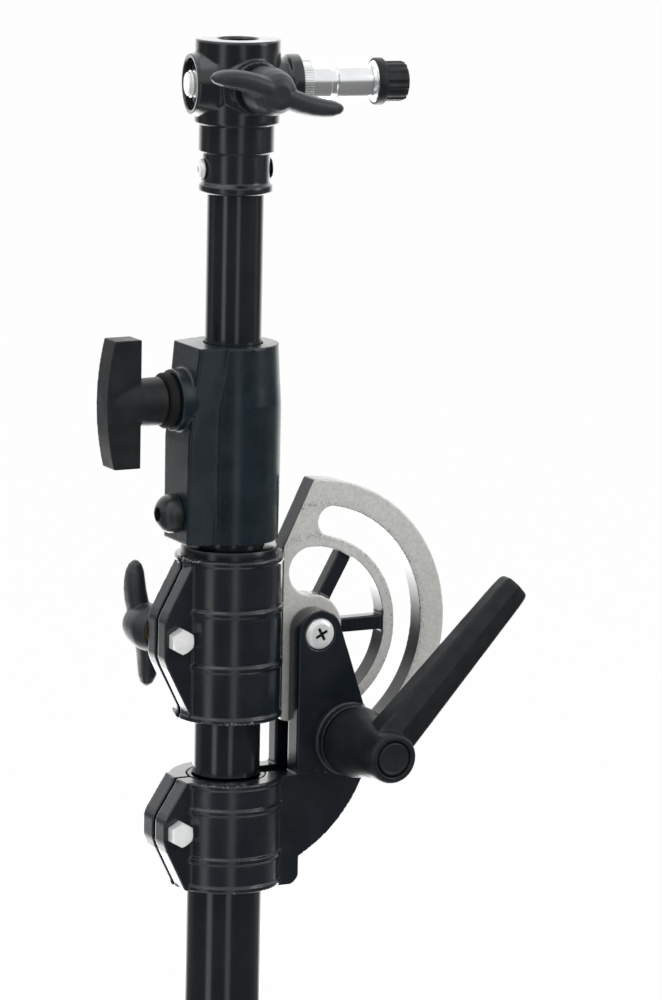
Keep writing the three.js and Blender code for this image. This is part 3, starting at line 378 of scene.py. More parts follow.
class Drawing:
    """Outlines, as lists of points in millimetres."""

    @staticmethod
    def arc(centre: Point, radius: float, start: float, end: float, steps: int) -> list[Point]:
        """Points on an arc, with both ends.

        Args:
            centre: The arc's centre.
            radius: Its radius.
            start: The first point's angle, in degrees.
            end: The last point's angle, in degrees.
            steps: How many lengths it has.

        Returns:
            The points.
        """
        angles = [math.radians(start + (end - start) * i / steps) for i in range(steps + 1)]
        return [(centre[0] + radius * math.cos(a), centre[1] + radius * math.sin(a)) for a in angles]

    @staticmethod
    def gear(root: float, tip: float, count: int) -> list[Point]:
        """An outline of evenly spaced teeth."""
        points = []
        shares = ((-0.3, root), (-0.15, tip), (0.15, tip), (0.3, root))
        for i in range(count):
            for share, radius in shares:
                angle = (i + share) * 2 * math.pi / count
                points.append((radius * math.cos(angle), radius * math.sin(angle)))
        return points

    @staticmethod
    def hexagon(flats: float) -> list[Point]:
        """A hexagon by its width across flats, with a corner on +Y."""
        return Drawing.arc((0, 0), flats / math.sqrt(3), 30, 330, 5)

    @staticmethod
    def thread(radius: float, low: float, high: float, pitch: float, depth: float) -> list[Ring]:
        """The outside of a threaded shank, as rings from low to high."""
        rings = []
        turns = int((high - low) / pitch)
        for i in range(turns):
            base = low + i * pitch
            rings += [(radius - depth, base), (radius - depth, base + 0.15 * pitch)]
            rings += [(radius, base + 0.5 * pitch), (radius, base + 0.65 * pitch)]
        return rings + [(radius - depth, low + turns * pitch), (radius - depth, high)]


class Nodes:
    """A small helper that wires shader nodes."""

    def __init__(self, tree: bpy.types.NodeTree) -> None:
        """Start on an empty tree."""
        self.tree = tree
        tree.nodes.clear()

    def add(self, kind: str, **settings: object) -> bpy.types.Node:
        """Add a node and set its properties and sockets.

        Args:
            kind: The node's type.
            settings: Properties by name; a name that isn't one is a socket, with spaces as underscores.

        Returns:
            The node.
        """
        node = self.tree.nodes.new(kind)
        for name, value in settings.items():
            if hasattr(node, name):
                setattr(node, name, value)
                continue
            self.feed(node, name.replace("_", " "), value)
        return node

    def feed(self, node: bpy.types.Node, socket: str | int, value: object) -> None:
        """Give a socket a value or a link."""
        target = node.inputs[socket]
        if isinstance(value, Socket):
            self.tree.links.new(value, target)
        else:
            target.default_value = value

    def math(self, operation: str, first: object, second: object = 0.0) -> Socket:
        """A maths node's result."""
        node = self.add("ShaderNodeMath", operation=operation)
        self.feed(node, 0, first)
        self.feed(node, 1, second)
        return node.outputs[0]

    def product(self, first: object, *others: object) -> Socket:
        """Values multiplied in turn."""
        for other in others:
            first = self.math("MULTIPLY", first, other)
        return first

    def vector(self, operation: str, *values: object) -> Socket:
        """A vector maths node's result: a number for a length or a dot product, else a vector."""
        node = self.add("ShaderNodeVectorMath", operation=operation)
        for socket, value in enumerate(values):
            self.feed(node, socket, value)
        return node.outputs["Value" if operation in ("LENGTH", "DOT_PRODUCT") else "Vector"]

    def axis(self, place: object, index: int) -> Socket:
        """A place's X, Y or Z."""
        return self.add("ShaderNodeSeparateXYZ", Vector=place).outputs[index]

    def ramp(self, value: object, low: float, high: float, start: float = 0.0, end: float = 1.0) -> Socket:
        """A value mapped and clamped from low..high to start..end, with soft ends."""
        return self.add("ShaderNodeMapRange", interpolation_type="SMOOTHSTEP", Value=value, From_Min=low,
                        From_Max=high, To_Min=start, To_Max=end).outputs[0]

    def near(self, value: object, at: float, reach: float) -> Socket:
        """One where a value is at another, fading to nothing over a reach."""
        distance = self.math("ABSOLUTE", self.math("SUBTRACT", value, at))
        return self.ramp(distance, 0.0, reach, 1.0, 0.0)

    def blend(self, share: object, first: object, second: object, colours: bool = True) -> Socket:
        """Two colours, or else two numbers, mixed by a share."""
        node = self.add("ShaderNodeMix", data_type="RGBA" if colours else "FLOAT")
        for socket, value in zip((0, 6, 7) if colours else (0, 2, 3), (share, first, second)):
            self.feed(node, socket, value)
        return node.outputs[2 if colours else 0]

    def noise(self, place: object, scale: float, detail: float = 4.0, rough: float = 0.55) -> Socket:
        """A noise texture's value; scale is in features to the metre."""
        node = self.add("ShaderNodeTexNoise", Vector=place, Scale=scale, Detail=detail, Roughness=rough)
        return node.outputs[0]

    def scaled(self, place: object, scale: Triple) -> Socket:
        """A place stretched along the main axes."""
        return self.add("ShaderNodeMapping", Vector=place, Scale=scale).outputs[0]

    def around(self, place: object, centre: Triple) -> tuple[Socket, Socket]:
        """A place as seen from a centre in millimetres, and its distance from the line along Y there."""
        away = self.vector("SUBTRACT", place, tuple(value * MM for value in centre))
        return away, self.vector("LENGTH", self.scaled(away, (1.0, 0.0, 1.0)))

    def rays(self) -> tuple[Socket, Socket]:
        """Whether a ray comes from the camera, and whether it is reflected or let through."""
        paths = self.add("ShaderNodeLightPath").outputs
        shine = self.math("MAXIMUM", paths["Is Glossy Ray"], paths["Is Transmission Ray"])
        return paths["Is Camera Ray"], shine


def opaque(colour: Colour) -> tuple[float, float, float, float]:
    """A colour with full alpha."""
    return (*colour, 1.0)


def grey(value: float) -> tuple[float, float, float, float]:
    """A grey with full alpha."""
    return opaque((value, value, value))


DRIFT_GRAINS = 18  # how many grains wide a drift of colour is
DRIFT_BAND = (0.35, 0.68)  # the noise's values between which it goes from one colour to the other
SMUDGE_GRAINS = 30  # how many grains wide a smudge is
SMUDGE_BAND = (0.3, 0.72)
MARKS_PER_GRAIN = 2.2  # how much finer than the grain the scratches are
MARK_BAND = (0.62, 0.74)
CHIP_COLOUR = (0.55, 0.55, 0.54)
CHIP_ROUGHNESS = 0.15  # what a chip adds to the roughness
CHIP_DEPTH = 2.0  # how deep a chip is, in heights of the grain


@dataclass(frozen=True)
class Finish:
    """A surface finish: its colour, gloss, grain and wear.

    Attributes:
        name: The material's name.
        slot: The record's material slot; not used.
        colour: The base colour.
        second: The colour that it drifts to.
        roughness: The least and the most roughness.
        metal: How metallic it is.
        coat: The weight of a clear top layer.
        gleam: How strongly it reflects.
        grain: Features to the metre of the bump.
        bump: The bump's strength.
        depth: The bump's height, in millimetres.
        chips: How much bare metal shows through, from 0 to 1.
        chip_heights: Heights in metres near which the paint is chipped.
        scratches: How strong fine scratches are.
        lines: The direction along which scratches and tool marks run, as a stretch.
    """

    name: str
    slot: str
    colour: Colour
    second: Colour
    roughness: tuple[float, float]
    metal: float = 0.0
    coat: float = 0.0
    gleam: float = 0.5
    grain: float = 900.0
    bump: float = 0.2
    depth: float = 0.05
    chips: float = 0.0
    chip_heights: tuple[float, ...] = ()
    scratches: float = 0.0
    lines: Triple = (1.0, 1.0, 0.04)

    def material(self) -> bpy.types.Material:
        """The finish as a material, made once."""
        known = bpy.data.materials.get(self.name)
        if known:
            return known
        material = bpy.data.materials.new(self.name)
        material.use_nodes = True
        nodes = Nodes(material.node_tree)
        place = nodes.add("ShaderNodeTexCoord").outputs["Object"]
        shader = nodes.add("ShaderNodeBsdfPrincipled", Metallic=self.metal, Coat_Weight=self.coat,
                           Specular_IOR_Level=self.gleam, Coat_Roughness=self.roughness[0])
        nodes.add("ShaderNodeOutputMaterial", Surface=shader.outputs[0])
        self.paint(nodes, place, shader)
        return material

    def paint(self, nodes: Nodes, place: Socket, shader: bpy.types.Node) -> None:
        """Wire the colour, gloss, grain and wear into the shader.

        Args:
            nodes: The material's nodes.
            place: Object coordinates.
            shader: The principled shader.
        """
        drift = nodes.ramp(nodes.noise(place, self.grain / DRIFT_GRAINS), *DRIFT_BAND)
        colour = nodes.blend(drift, opaque(self.colour), opaque(self.second))
        smudge = nodes.noise(place, self.grain / SMUDGE_GRAINS, 3.0)
        gloss = nodes.ramp(smudge, *SMUDGE_BAND, *self.roughness)
        height = nodes.noise(place, self.grain, 3.0, 0.6)
        if self.scratches:
            marks = nodes.noise(nodes.scaled(place, self.lines), self.grain * MARKS_PER_GRAIN, 3.0, 0.7)
            light = nodes.product(nodes.ramp(marks, *MARK_BAND), self.scratches)
            bright = tuple(min(1.0, channel * 1.6 + 0.03) for channel in self.colour)
            colour = nodes.blend(light, colour, opaque(bright))
            height = nodes.math("SUBTRACT", height, light)
        if self.chips:
            mask = self.chipped(nodes, place)
            colour = nodes.blend(mask, colour, opaque(CHIP_COLOUR))
            gloss = nodes.math("ADD", gloss, nodes.product(mask, CHIP_ROUGHNESS))
            height = nodes.math("SUBTRACT", height, nodes.product(mask, CHIP_DEPTH))
        nodes.feed(shader, "Base Color", colour)
        nodes.feed(shader, "Roughness", gloss)
        bump = nodes.add("ShaderNodeBump", Strength=self.bump, Distance=self.depth * MM, Height=height)
        nodes.feed(shader, "Normal", bump.outputs[0])

    def chipped(self, nodes: Nodes, place: Socket) -> Socket:
        """Where the paint is chipped: small specks, thickest near the named heights.

        Args:
            nodes: The material's nodes.
            place: Object coordinates.

        Returns:
            The mask.
        """
        reach, patch_scale, speck_scale = 0.002, 55.0, 1500.0
        sound, worn_down, rim = 0.78, 0.22, 0.03
        height = nodes.axis(place, 2)
        near: object = 0.0
        for chip_height in self.chip_heights:
            near = nodes.math("MAXIMUM", near, nodes.near(height, chip_height, reach))
        patches = nodes.ramp(nodes.noise(place, patch_scale, 2.0), 0.42, 0.55)
        worn = nodes.product(near, patches, self.chips)
        threshold = nodes.math("SUBTRACT", sound, nodes.product(worn, worn_down))
        specks = nodes.noise(place, speck_scale, 3.0, 0.7)
        return nodes.ramp(nodes.math("SUBTRACT", specks, threshold), 0.0, rim)


@dataclass(frozen=True)
class MachinedCasting(Finish):
    """A painted casting whose sector plate is ground bare on both faces.

    Attributes:
        face: Where the ground faces begin and are full, outwards from the middle.
        plate: Where they end, so that the collar stays painted.
        edge_x: Where they begin and are full along X.
        slot_edges: The radii of the slot's edges, where dirt gathers.
        dirt_reach: How far the dirt reaches from them.
        bare: The ground metal's colour.
        bare_second: The colour that it drifts to.
        bare_metal: How metallic the ground faces are.
        bare_roughness: Their least and most roughness.
        dirt_and_shade: The colour of the grime at the slot's edges.
        dirtiness: How much of the metal it hides at most.
        pivot: The slot's centre, in X and Z.
    """

    face: tuple[float, float] = (4.63, 4.85)
    plate: tuple[float, float] = (5.6, 5.8)
    edge_x: tuple[float, float] = (24.3, 24.7)
    slot_edges: tuple[float, float] = (42.4, 56.2)
    dirt_reach: float = 3.4
    bare: Colour = (0.76, 0.755, 0.73)
    bare_second: Colour = (0.6, 0.595, 0.57)
    bare_metal: float = 0.3
    bare_roughness: tuple[float, float] = (0.34, 0.5)
    # the colour of the grime at the slot's edges
    dirt_and_shade: Colour = (0.05, 0.05, 0.05)
    dirtiness: float = 0.75
    pivot: Point = (38.1, 231.1)

    def paint(self, nodes: Nodes, place: Socket, shader: bpy.types.Node) -> None:
        """Wire the painted finish, then the ground faces over it."""
        super().paint(nodes, place, shader)
        painted, gloss = (shader.inputs[name].links[0].from_socket for name in ("Base Color", "Roughness"))
        face, plate, edge = ((low * MM, high * MM) for low, high in (self.face, self.plate, self.edge_x))
        side = nodes.math("ABSOLUTE", nodes.axis(place, 1))
        across = nodes.product(nodes.ramp(side, *face), nodes.ramp(side, *plate, 1.0, 0.0),
                               nodes.ramp(nodes.axis(place, 0), *edge))
        speckle_scale, dirt_scale, ground_scale = 700.0, 1300.0, 400.0
        tone = nodes.ramp(nodes.noise(place, speckle_scale, 5.0, 0.7), 0.3, 0.75)
        bare = nodes.blend(tone, opaque(self.bare), opaque(self.bare_second))
        _, radius = nodes.around(place, (self.pivot[0], 0.0, self.pivot[1]))
        inner, outer = (nodes.near(radius, at * MM, self.dirt_reach * MM) for at in self.slot_edges)
        specks = nodes.ramp(nodes.noise(place, dirt_scale, 4.0, 0.75), 0.53, 0.6)
        dirt_and_shade = nodes.product(nodes.math("MAXIMUM", inner, outer), specks, self.dirtiness)
        bare = nodes.blend(dirt_and_shade, bare, opaque(self.dirt_and_shade))
        ground = nodes.ramp(nodes.noise(place, ground_scale, 4.0), 0.3, 0.7, *self.bare_roughness)
        nodes.feed(shader, "Base Color", nodes.blend(across, painted, bare))
        nodes.feed(shader, "Roughness", nodes.blend(across, gloss, ground, colours=False))
        nodes.feed(shader, "Metallic", nodes.product(across, self.bare_metal))


@dataclass(frozen=True)
class RecessedHead(Finish):
    """A screw head whose cross recess is darkened with painted shade.

    Attributes:
        centre: The middle of the recess, at the head's face.
        reach: How far the painted shade reaches sideways.
        depth_band: How deep it begins and is full.
        dirt_and_shade: The colour of the painted shade in the recess.
    """

    centre: Triple = (38.1, -16.7, 231.1)
    reach: float = 4.3
    depth_band: tuple[float, float] = (0.15, 0.7)
    # painted shade: the dark colour laid into the cross recess, darker with depth
    dirt_and_shade: Colour = (0.045, 0.052, 0.05)

    def paint(self, nodes: Nodes, place: Socket, shader: bpy.types.Node) -> None:
        """Wire the finish, then the painted shade in the recess over it."""
        super().paint(nodes, place, shader)
        unshaded = shader.inputs["Base Color"].links[0].from_socket
        away, distance = nodes.around(place, self.centre)
        inside = nodes.ramp(distance, (self.reach - 0.1) * MM, self.reach * MM, 1.0, 0.0)
        low, high = self.depth_band
        # painted shade: darker the deeper a point lies inside the recess
        dirt_and_shade = nodes.product(inside, nodes.ramp(nodes.axis(away, 1), low * MM, high * MM))
        nodes.feed(shader, "Base Color", nodes.blend(dirt_and_shade, unshaded, opaque(self.dirt_and_shade)))


TUBE_PAINT = Finish(
    "tube_paint", "black_tube", (0.008, 0.011, 0.014), (0.012, 0.015, 0.019), (0.13, 0.2), coat=0.3,
    grain=700.0, bump=0.06, depth=0.02, scratches=0.12, lines=(1.0, 1.0, 0.02))
CAST_PAINT = Finish(
    "cast_paint", "black_cast", (0.006, 0.01, 0.014), (0.01, 0.014, 0.019), (0.2, 0.3), coat=0.3,
    grain=1100.0, bump=0.16, depth=0.05, chips=0.8, chip_heights=(0.1188, 0.168))
HEAD_PAINT = Finish(
    "head_paint", "black_cast", (0.008, 0.011, 0.014), (0.012, 0.015, 0.019), (0.18, 0.26), coat=0.4,
    grain=1100.0, bump=0.12, depth=0.04)
SECTOR_PAINT = MachinedCasting(
    "sector_paint", "sector_cast", (0.006, 0.01, 0.014), (0.01, 0.014, 0.019), (0.2, 0.28), coat=0.3,
    grain=1100.0, bump=0.14, depth=0.04, chips=1.0, chip_heights=(0.1955, 0.2675))
SLATE_PAINT = Finish(
    "slate_paint", "slate_cast", (0.005, 0.012, 0.017), (0.01, 0.019, 0.026), (0.22, 0.32), gleam=0.45,
    grain=1300.0, bump=0.5, depth=0.07, scratches=0.5, lines=(1.0, 1.0, 0.06))
KNOB_PLASTIC = Finish(
    "knob_plastic", "black_plastic", (0.008, 0.01, 0.012), (0.013, 0.016, 0.019), (0.42, 0.54), gleam=0.3,
    grain=2600.0, bump=0.22, depth=0.05)
WING_PLASTIC = Finish(
    "wing_plastic", "black_plastic", (0.016, 0.021, 0.026), (0.022, 0.028, 0.033), (0.38, 0.48),
    grain=2400.0, bump=0.2, depth=0.05)
DOME_PAINT = Finish(
    "dome_paint", "black_cast", (0.014, 0.016, 0.019), (0.018, 0.02, 0.023), (0.3, 0.4), coat=0.2,
    grain=1600.0, bump=0.1, depth=0.03)
NYLON = Finish(
    "nylon", "black_nylon", (0.004, 0.005, 0.007), (0.006, 0.008, 0.01), (0.16, 0.26),
    grain=1200.0, bump=0.1, depth=0.03)
RUBBER = Finish(
    "rubber_ring", "rubber", (0.007, 0.007, 0.008), (0.01, 0.01, 0.011), (0.6, 0.75), gleam=0.2, grain=2200.0)
ZINC = Finish(
    "zinc_plate", "zinc", (0.95, 0.96, 0.95), (0.82, 0.85, 0.83), (0.2, 0.34), metal=0.3,
    grain=1700.0, bump=0.6, depth=0.08)
# zinc with painted shade in the cross recess of the pivot screw
RECESSED_ZINC = RecessedHead(
    "recessed_zinc", "zinc", (0.95, 0.96, 0.95), (0.74, 0.78, 0.77), (0.14, 0.28), metal=0.35,
    grain=800.0, bump=0.4, depth=0.08)
DARK_STEEL = Finish("dark_steel", "steel", (0.2, 0.2, 0.2), (0.13, 0.13, 0.13), (0.3, 0.45), metal=1.0)
ALUMINIUM = Finish(
    "turned_aluminium", "aluminium", (0.96, 0.97, 0.98), (0.88, 0.89, 0.9), (0.14, 0.22), metal=0.85,
    grain=1200.0, bump=0.1, depth=0.02, scratches=0.15, lines=(8.0, 1.0, 1.0))
BRASS = Finish("turned_brass", "brass", (0.5, 0.36, 0.13), (0.42, 0.3, 0.1), (0.25, 0.4), metal=1.0)


class Arm:
    """What every sub-assembly does with a finished piece."""

    def fit(self, piece: Piece, body: Body, finish: Finish, *nodes: str) -> Piece:
        """Finish a piece, let it ride on its body and stand for its nodes.

        Args:
            piece: The piece, in its place.
            body: The body that it moves with.
            finish: Its finish.
            nodes: The frame's nodes that it replaces.

        Returns:
            The piece.
        """
        piece.data.materials.clear()
        piece.data.materials.append(finish.material())
        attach(piece, body.value)
        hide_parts(*nodes)
        log.info("%s: %d faces, on %s", piece.name, len(piece.data.polygons), body.value)
        return piece

    def fasten(self, piece: Piece, facing: Facing, at: Triple, body: Body, node: str) -> None:
        """Put a zinc-plated fastener in its place and fit it."""
        self.fit(Bench.placed(piece, facing, at), body, ZINC, node)

    def keep(self, node: str, finish: Finish) -> None:
        """Give one of the frame's own nodes a finish."""
        materials = bpy.data.objects[node].data.materials
        materials.clear()
        materials.append(finish.material())
        log.info("%s: kept", node)


@dataclass
class Hardware:
    """The metric fasteners that the sub-assemblies share."""

    radius: float = 4.0
    flats: float = 12.0
    head: float = 5.3
    nut: float = 6.5
    washer_radius: float = 8.0
    washer: float = 1.6
    pitch: float = 1.25
    threaded: float = 14.0
    thread_depth: float = 0.55

    @property
    def corner(self) -> float:
        """The radius of a hexagon's corners."""
        return self.flats / math.sqrt(3)

    def shank(self, length: float, top: float) -> list[Ring]:
        """The rings of a shank from its threaded end, which is a length below 0, to its top."""
        end = self.threaded - length
        thread = Drawing.thread(self.radius, 0.6 - length, end, self.pitch, self.thread_depth)
        return [(self.radius - 0.8, -length), *thread, (self.radius, end + 0.6), (self.radius, top)]

    def bolt(self, name: str, length: float) -> Piece:
        """A hexagon bolt about +Z: its head's seat at 0, its shank going down."""
        head = Bench.plate(name, Drawing.hexagon(self.flats), 0.0, self.head)
        crown = Bench.turned("crown", [(self.corner + 1, -1), (self.corner, self.head - 0.7),
                                       (self.flats / 2 - 0.1, self.head)])
        Bench.combined(head, Joining.SHARED, crown)
        Bench.combined(head, Joining.WELD, Bench.turned("shank", self.shank(length, 0.5), sides=48))
        return Bench.eased(head, width=0.18, degrees=38)

    def hex_nut(self, name: str) -> Piece:
        """A hexagon nut about +Z, standing on 0."""
        nut = Bench.plate(name, Drawing.hexagon(self.flats), 0.0, self.nut)
        face = self.flats / 2 - 0.4
        crown = Bench.turned("crown", [(face, -0.1), (self.corner, 0.9), (self.corner, self.nut - 0.9),
                                       (face, self.nut + 0.1)])
        Bench.combined(nut, Joining.SHARED, crown)
        inner, rim = self.radius + GAP, self.radius + 1.0
        bore = Bench.turned("bore", [(rim, -1), (rim, 0), (inner, 0.7), (inner, self.nut - 0.7),
                                     (rim, self.nut), (rim, self.nut + 1)])
        Bench.combined(nut, Joining.CUT, bore)
        return Bench.eased(nut, width=0.15, degrees=40)

    def ring(self, name: str, outer: float, thickness: float) -> Piece:
        """A washer about +Z, standing on 0, with rounded rims."""
        edge = min(0.35, thickness / 4)
        return Bench.pipe(name, (outer, self.radius + GAP), 0.0, thickness, edge, sides=64)


HARDWARE = Hardware()
CLAMP = Hardware(radius=3.0, flats=10.0, head=4.5, nut=5.0, washer_radius=6.0, pitch=1.0)


@dataclass
class Stand(Arm):
    """The column's stub and the plug that it stands on."""

    radius: float = 17.5
    wall: float = 2.0
    top: float = 156.0
    flange: float = 3.0
    plug: float = 14.0

    def build(self) -> None:
        """Model and dress the column and its foot."""
        inner = self.radius - self.wall
        edge = 0.4
        tube = Bench.pipe("column_pipe", (self.radius, inner), self.flange, self.top, edge)
        self.fit(tube, Body.COLUMN, TUBE_PAINT, "column_tube")
        plug = inner - GAP
        high = self.flange + self.plug
        foot = Bench.turned("foot_plug", [
            (self.radius - 1, 0), (self.radius, 1), (self.radius, self.flange - edge),
            (self.radius - edge, self.flange), (plug, self.flange), (plug, high - 1), (plug - 1, high),
            (plug - 3, high), (plug - 3, high - 8), (plug - 3.5, high - 8)])
        self.fit(Bench.smooth(foot), Body.COLUMN, NYLON, "column_foot")


@dataclass
class Collar:
    """A split collar: a ribbed barrel with two clamp ears."""

    bottom: float
    height: float
    radius: float
    bore: float
    ribs: tuple[float, float]
    ear_centre: float
    ear_end: float
    ear_corner: float
    ear_face: float
    back_seat: float
    rib_depth: float = 0.8
    rib_width: float = 2.2
    ear_reach: float = 35.2
    split: float = 1.0
    bolt_inset: float = 6.8

    @property
    def top(self) -> float:
        """The collar's upper face."""
        return self.bottom + self.height

    def along(self, y: float) -> Triple:
        """A point on the clamp bolt's axis."""
        return (self.bolt_inset - self.ear_reach, y, self.ear_centre)

    def barrel(self, name: str) -> Piece:
        """The barrel with its ribs, with no bore yet."""
        slope, sink, soft = 0.5, 0.5, 0.9
        crest = self.radius + self.rib_depth
        half = self.rib_width / 2
        first, last = self.bottom + self.rib_width, self.top - self.rib_width
        rings: list[Ring] = [(crest - 0.5, self.bottom), (crest, self.bottom + 0.5), (crest, first),
                             (self.radius, first + slope)]
        for middle in self.ribs:
            low, high = middle - half, middle + half
            rings += [(self.radius, low - slope - soft), (self.radius - sink, low - slope), (crest, low),
                      (crest, high), (self.radius - sink, high + slope), (self.radius, high + slope + soft)]
        rings += [(self.radius, last - slope), (crest, last), (crest, self.top - 0.5),
                  (crest - 0.5, self.top)]
        return Bench.turned(name, rings, sides=128)

    def ears(self) -> Piece:
        """The two clamp ears as one block."""
        root, soft = self.radius * 0.6, 1.6
        outline = [(-root, self.bottom), (self.ear_corner, self.bottom)]
        for side, end in ((-1, self.bottom), (1, self.top)):
            tip = self.ear_centre + side * self.ear_end
            slope = (end - tip) / (self.ear_reach + self.ear_corner)
            ease = [(-self.ear_reach + soft, tip + slope * soft), (-self.ear_reach + 0.4, tip),
                    (-self.ear_reach, tip - side * soft)]
            outline += ease if side < 0 else ease[::-1]
        outline += [(self.ear_corner, self.top), (-root, self.top)]
        return Bench.slab("ears", outline, -self.ear_face, self.ear_face)

    def tools(self) -> list[Piece]:
        """What is cut from the collar: bore, split, bolt hole and seats."""
        cut = [Bench.rod("bore", self.bore, self.bottom - OVER, self.top + OVER, 128),
               Bench.block("split", (-self.ear_reach - OVER, -self.split, self.bottom - OVER),
                           (0.0, self.split, self.top + OVER))]
        for radius, low, high in ((CLAMP.radius, -self.ear_face - OVER, self.ear_face + OVER),
                                  (CLAMP.corner, self.ear_face, self.radius + OVER),
                                  (self.back_seat, -self.radius - OVER, -self.ear_face)):
            seat = Bench.rod("seat", radius + GAP, low, high, 64)
            cut.append(Bench.placed(seat, Facing.FRONT, self.along(0.0)))
        return cut


def lower_collar() -> Collar:
    """The collar on the stand's column."""
    return Collar(bottom=118.8, height=49.2, radius=24.7, bore=17.8, ribs=(133.0, 155.2), ear_centre=145.8,
                  ear_end=5.6, ear_corner=-24.5, ear_face=11.0, back_seat=CLAMP.corner)


def upper_collar() -> Collar:
    """The collar on the boom's tube."""
    return Collar(bottom=195.0, height=73.0, radius=23.6, bore=18.2, ribs=(219.6, 244.2), ear_centre=232.4,
                  ear_end=9.5, ear_corner=-21.0, ear_face=9.0, back_seat=10.6)


@dataclass
class SwivelBracket(Arm):
    """The lower collar, its fork and the fasteners that stay with it."""

    pivot: Point = (38.1, 231.1)
    bolt: Point = (53.6, 182.0)
    front: float = 15.5
    back: float = 13.5
    left: float = 27.6
    end_radius: float = 10.6
    shoulder: Point = (60.4, 198.0)
    boss_radius: float = 16.0
    boss: float = 4.0
    tab_x: float = 29.2
    tab_top: float = 130.5
    tab_bottom: float = 117.8
    tab_corner: float = 5.0
    sweep_radius: float = 68.6
    sweep_end: Point = (62.4, 168.6)
    sector_radius: float = 68.0
    sector_half: float = 5.5
    seat_depth: float = 2.4
    seat_radius: float = 7.4
    nut_sink: float = 4.5
    lever_base: float = 21.0
    collar: Collar = field(default_factory=lower_collar)

    @property
    def nut_seat(self) -> Triple:
        """Where the clamp's nut sits, sunk in the far ear."""
        return self.collar.along(self.collar.ear_face - self.nut_sink)

    def build(self) -> None:
        """Model and dress the casting and its fasteners."""
        self.casting()
        self.mouth_bush()
        self.clamp()
        self.pivot_screw()
        self.lock_bolt()

    def fork_outline(self) -> list[Point]:
        """The fork's ears, seen along Y."""
        start = Vector((self.tab_x, self.tab_top))
        end = Vector(self.sweep_end)
        half = (end - start) / 2
        away = Vector((-half.y, half.x)).normalized()
        centre = start + half + away * math.sqrt(self.sweep_radius**2 - half.length_squared)
        first, last = (math.degrees(math.atan2(*(spot - centre).yx)) for spot in (start, end))
        rise = math.degrees(math.atan2(self.pivot[1] - self.shoulder[1],
                                       self.shoulder[0] - self.end_radius - self.pivot[0]))
        corner = (self.tab_x - self.tab_corner, self.tab_bottom + self.tab_corner)
        return [(0.0, self.tab_bottom), *Drawing.arc(corner, self.tab_corner, -90, 0, 10),
                *Drawing.arc((centre.x, centre.y), self.sweep_radius, first, last, 24),
                (self.bolt[0] + self.boss_radius, self.bolt[1]), self.shoulder,
                *Drawing.arc(self.pivot, self.end_radius, 90 - rise, 180, 24),
                (self.left, self.collar.top), (0.0, self.collar.top)]

    def across(self, name: str, radius: float, low: float, high: float, at: Point) -> Piece:
        """A rod along -Y between two depths, at a point of the fork."""
        return Bench.placed(Bench.rod(name, radius, low, high), Facing.FRONT, (at[0], 0.0, at[1]))

    def sweep(self) -> Piece:
        """The room in which the sector turns."""
        return self.across("sweep", self.sector_radius, -self.sector_half, self.sector_half, self.pivot)

    def casting(self) -> None:
        """The lower collar with the fork."""
        body = self.collar.barrel("bracket_casting")
        fork = Bench.slab("fork", self.fork_outline(), -self.front, self.back)
        proud, hole = self.front + self.boss, HARDWARE.radius + GAP
        boss = self.across("boss", self.boss_radius, -self.back, proud, self.bolt)
        Bench.combined(body, Joining.WELD, self.collar.ears(), fork, boss)
        shape = Drawing.hexagon(CLAMP.flats + 2 * GAP)
        socket = Bench.placed(Bench.plate("socket", shape, 0.0, 12.0), Facing.BACK, self.nut_seat)
        Bench.combined(
            body, Joining.CUT, socket, *self.collar.tools(), self.sweep(),
            self.across("bolt_hole", hole, -self.back - OVER, proud + OVER, self.bolt),
            self.across("pivot_hole", hole, -self.back - OVER, self.front + OVER, self.pivot),
            self.across("seat", self.seat_radius, self.front - self.seat_depth, self.front + OVER,
                        self.pivot))
        Bench.cast(body, grain=0.5, passes=3)
        self.fit(body, Body.COLUMN, CAST_PAINT, "swivel_bracket")

    def mouth_bush(self) -> None:
        """The bush in the collar's mouth."""
        inner, wall, depth = 15.3, 1.8, 11.0
        top = self.collar.top
        bush = Bench.turned("mouth_bush", [
            (inner, top - 0.5), (inner + 0.5, top), (inner + wall, top), (inner + wall, top - depth),
            (inner, top - depth)], hollow=True)
        Bench.combined(bush, Joining.CUT, self.sweep())
        self.fit(Bench.smooth(bush), Body.COLUMN, NYLON, "collar_mouth_bush")

    def clamp(self) -> None:
        """The clamp bolt and its nut."""
        face = self.collar.ear_face
        self.fasten(CLAMP.bolt("column_clamp_bolt", 2 * face + 1), Facing.FRONT, self.collar.along(-face),
                    Body.COLUMN, "lower_clamp_bolt")
        self.fasten(CLAMP.hex_nut("column_clamp_nut"), Facing.BACK, self.nut_seat, Body.COLUMN,
                    "lower_clamp_nut")

    def pivot_screw(self) -> None:
        """The pan head screw with a cross recess, and its nut."""
        x, z = self.pivot
        length = self.front - self.seat_depth + self.back + HARDWARE.washer + HARDWARE.nut
        screw = Bench.turned("pivot_pan_screw", [
            *HARDWARE.shank(length, 0.0), (7.1, 0.0), (7.1, 1.2), (6.9, 2.0), (6.4, 2.7), (5.6, 3.2),
            (4.6, 3.5), (3.0, 3.6)], sides=64)
        for roll in (28.0, 118.0):
            sections = []
            for long, short, height in ((2.3, 0.51, 1.0), (3.7, 0.85, 5.0)):
                corners = ((-long, -short), (long, -short), (long, short), (-long, short))
                sections.append([(*corner, height) for corner in corners])
            Bench.combined(screw, Joining.CUT, Bench.placed(Bench.lofted("slot", sections), roll=roll))
        Bench.smooth(screw, 35)
        Bench.placed(screw, Facing.FRONT, (x, self.seat_depth - self.front, z))
        # its finish paints shade into the cross recess
        self.fit(screw, Body.COLUMN, RECESSED_ZINC, "pivot_screw")
        nut = HARDWARE.hex_nut("pivot_lock_nut")
        self.fasten(nut, Facing.BACK, (x, self.back, z), Body.COLUMN, "pivot_nut")

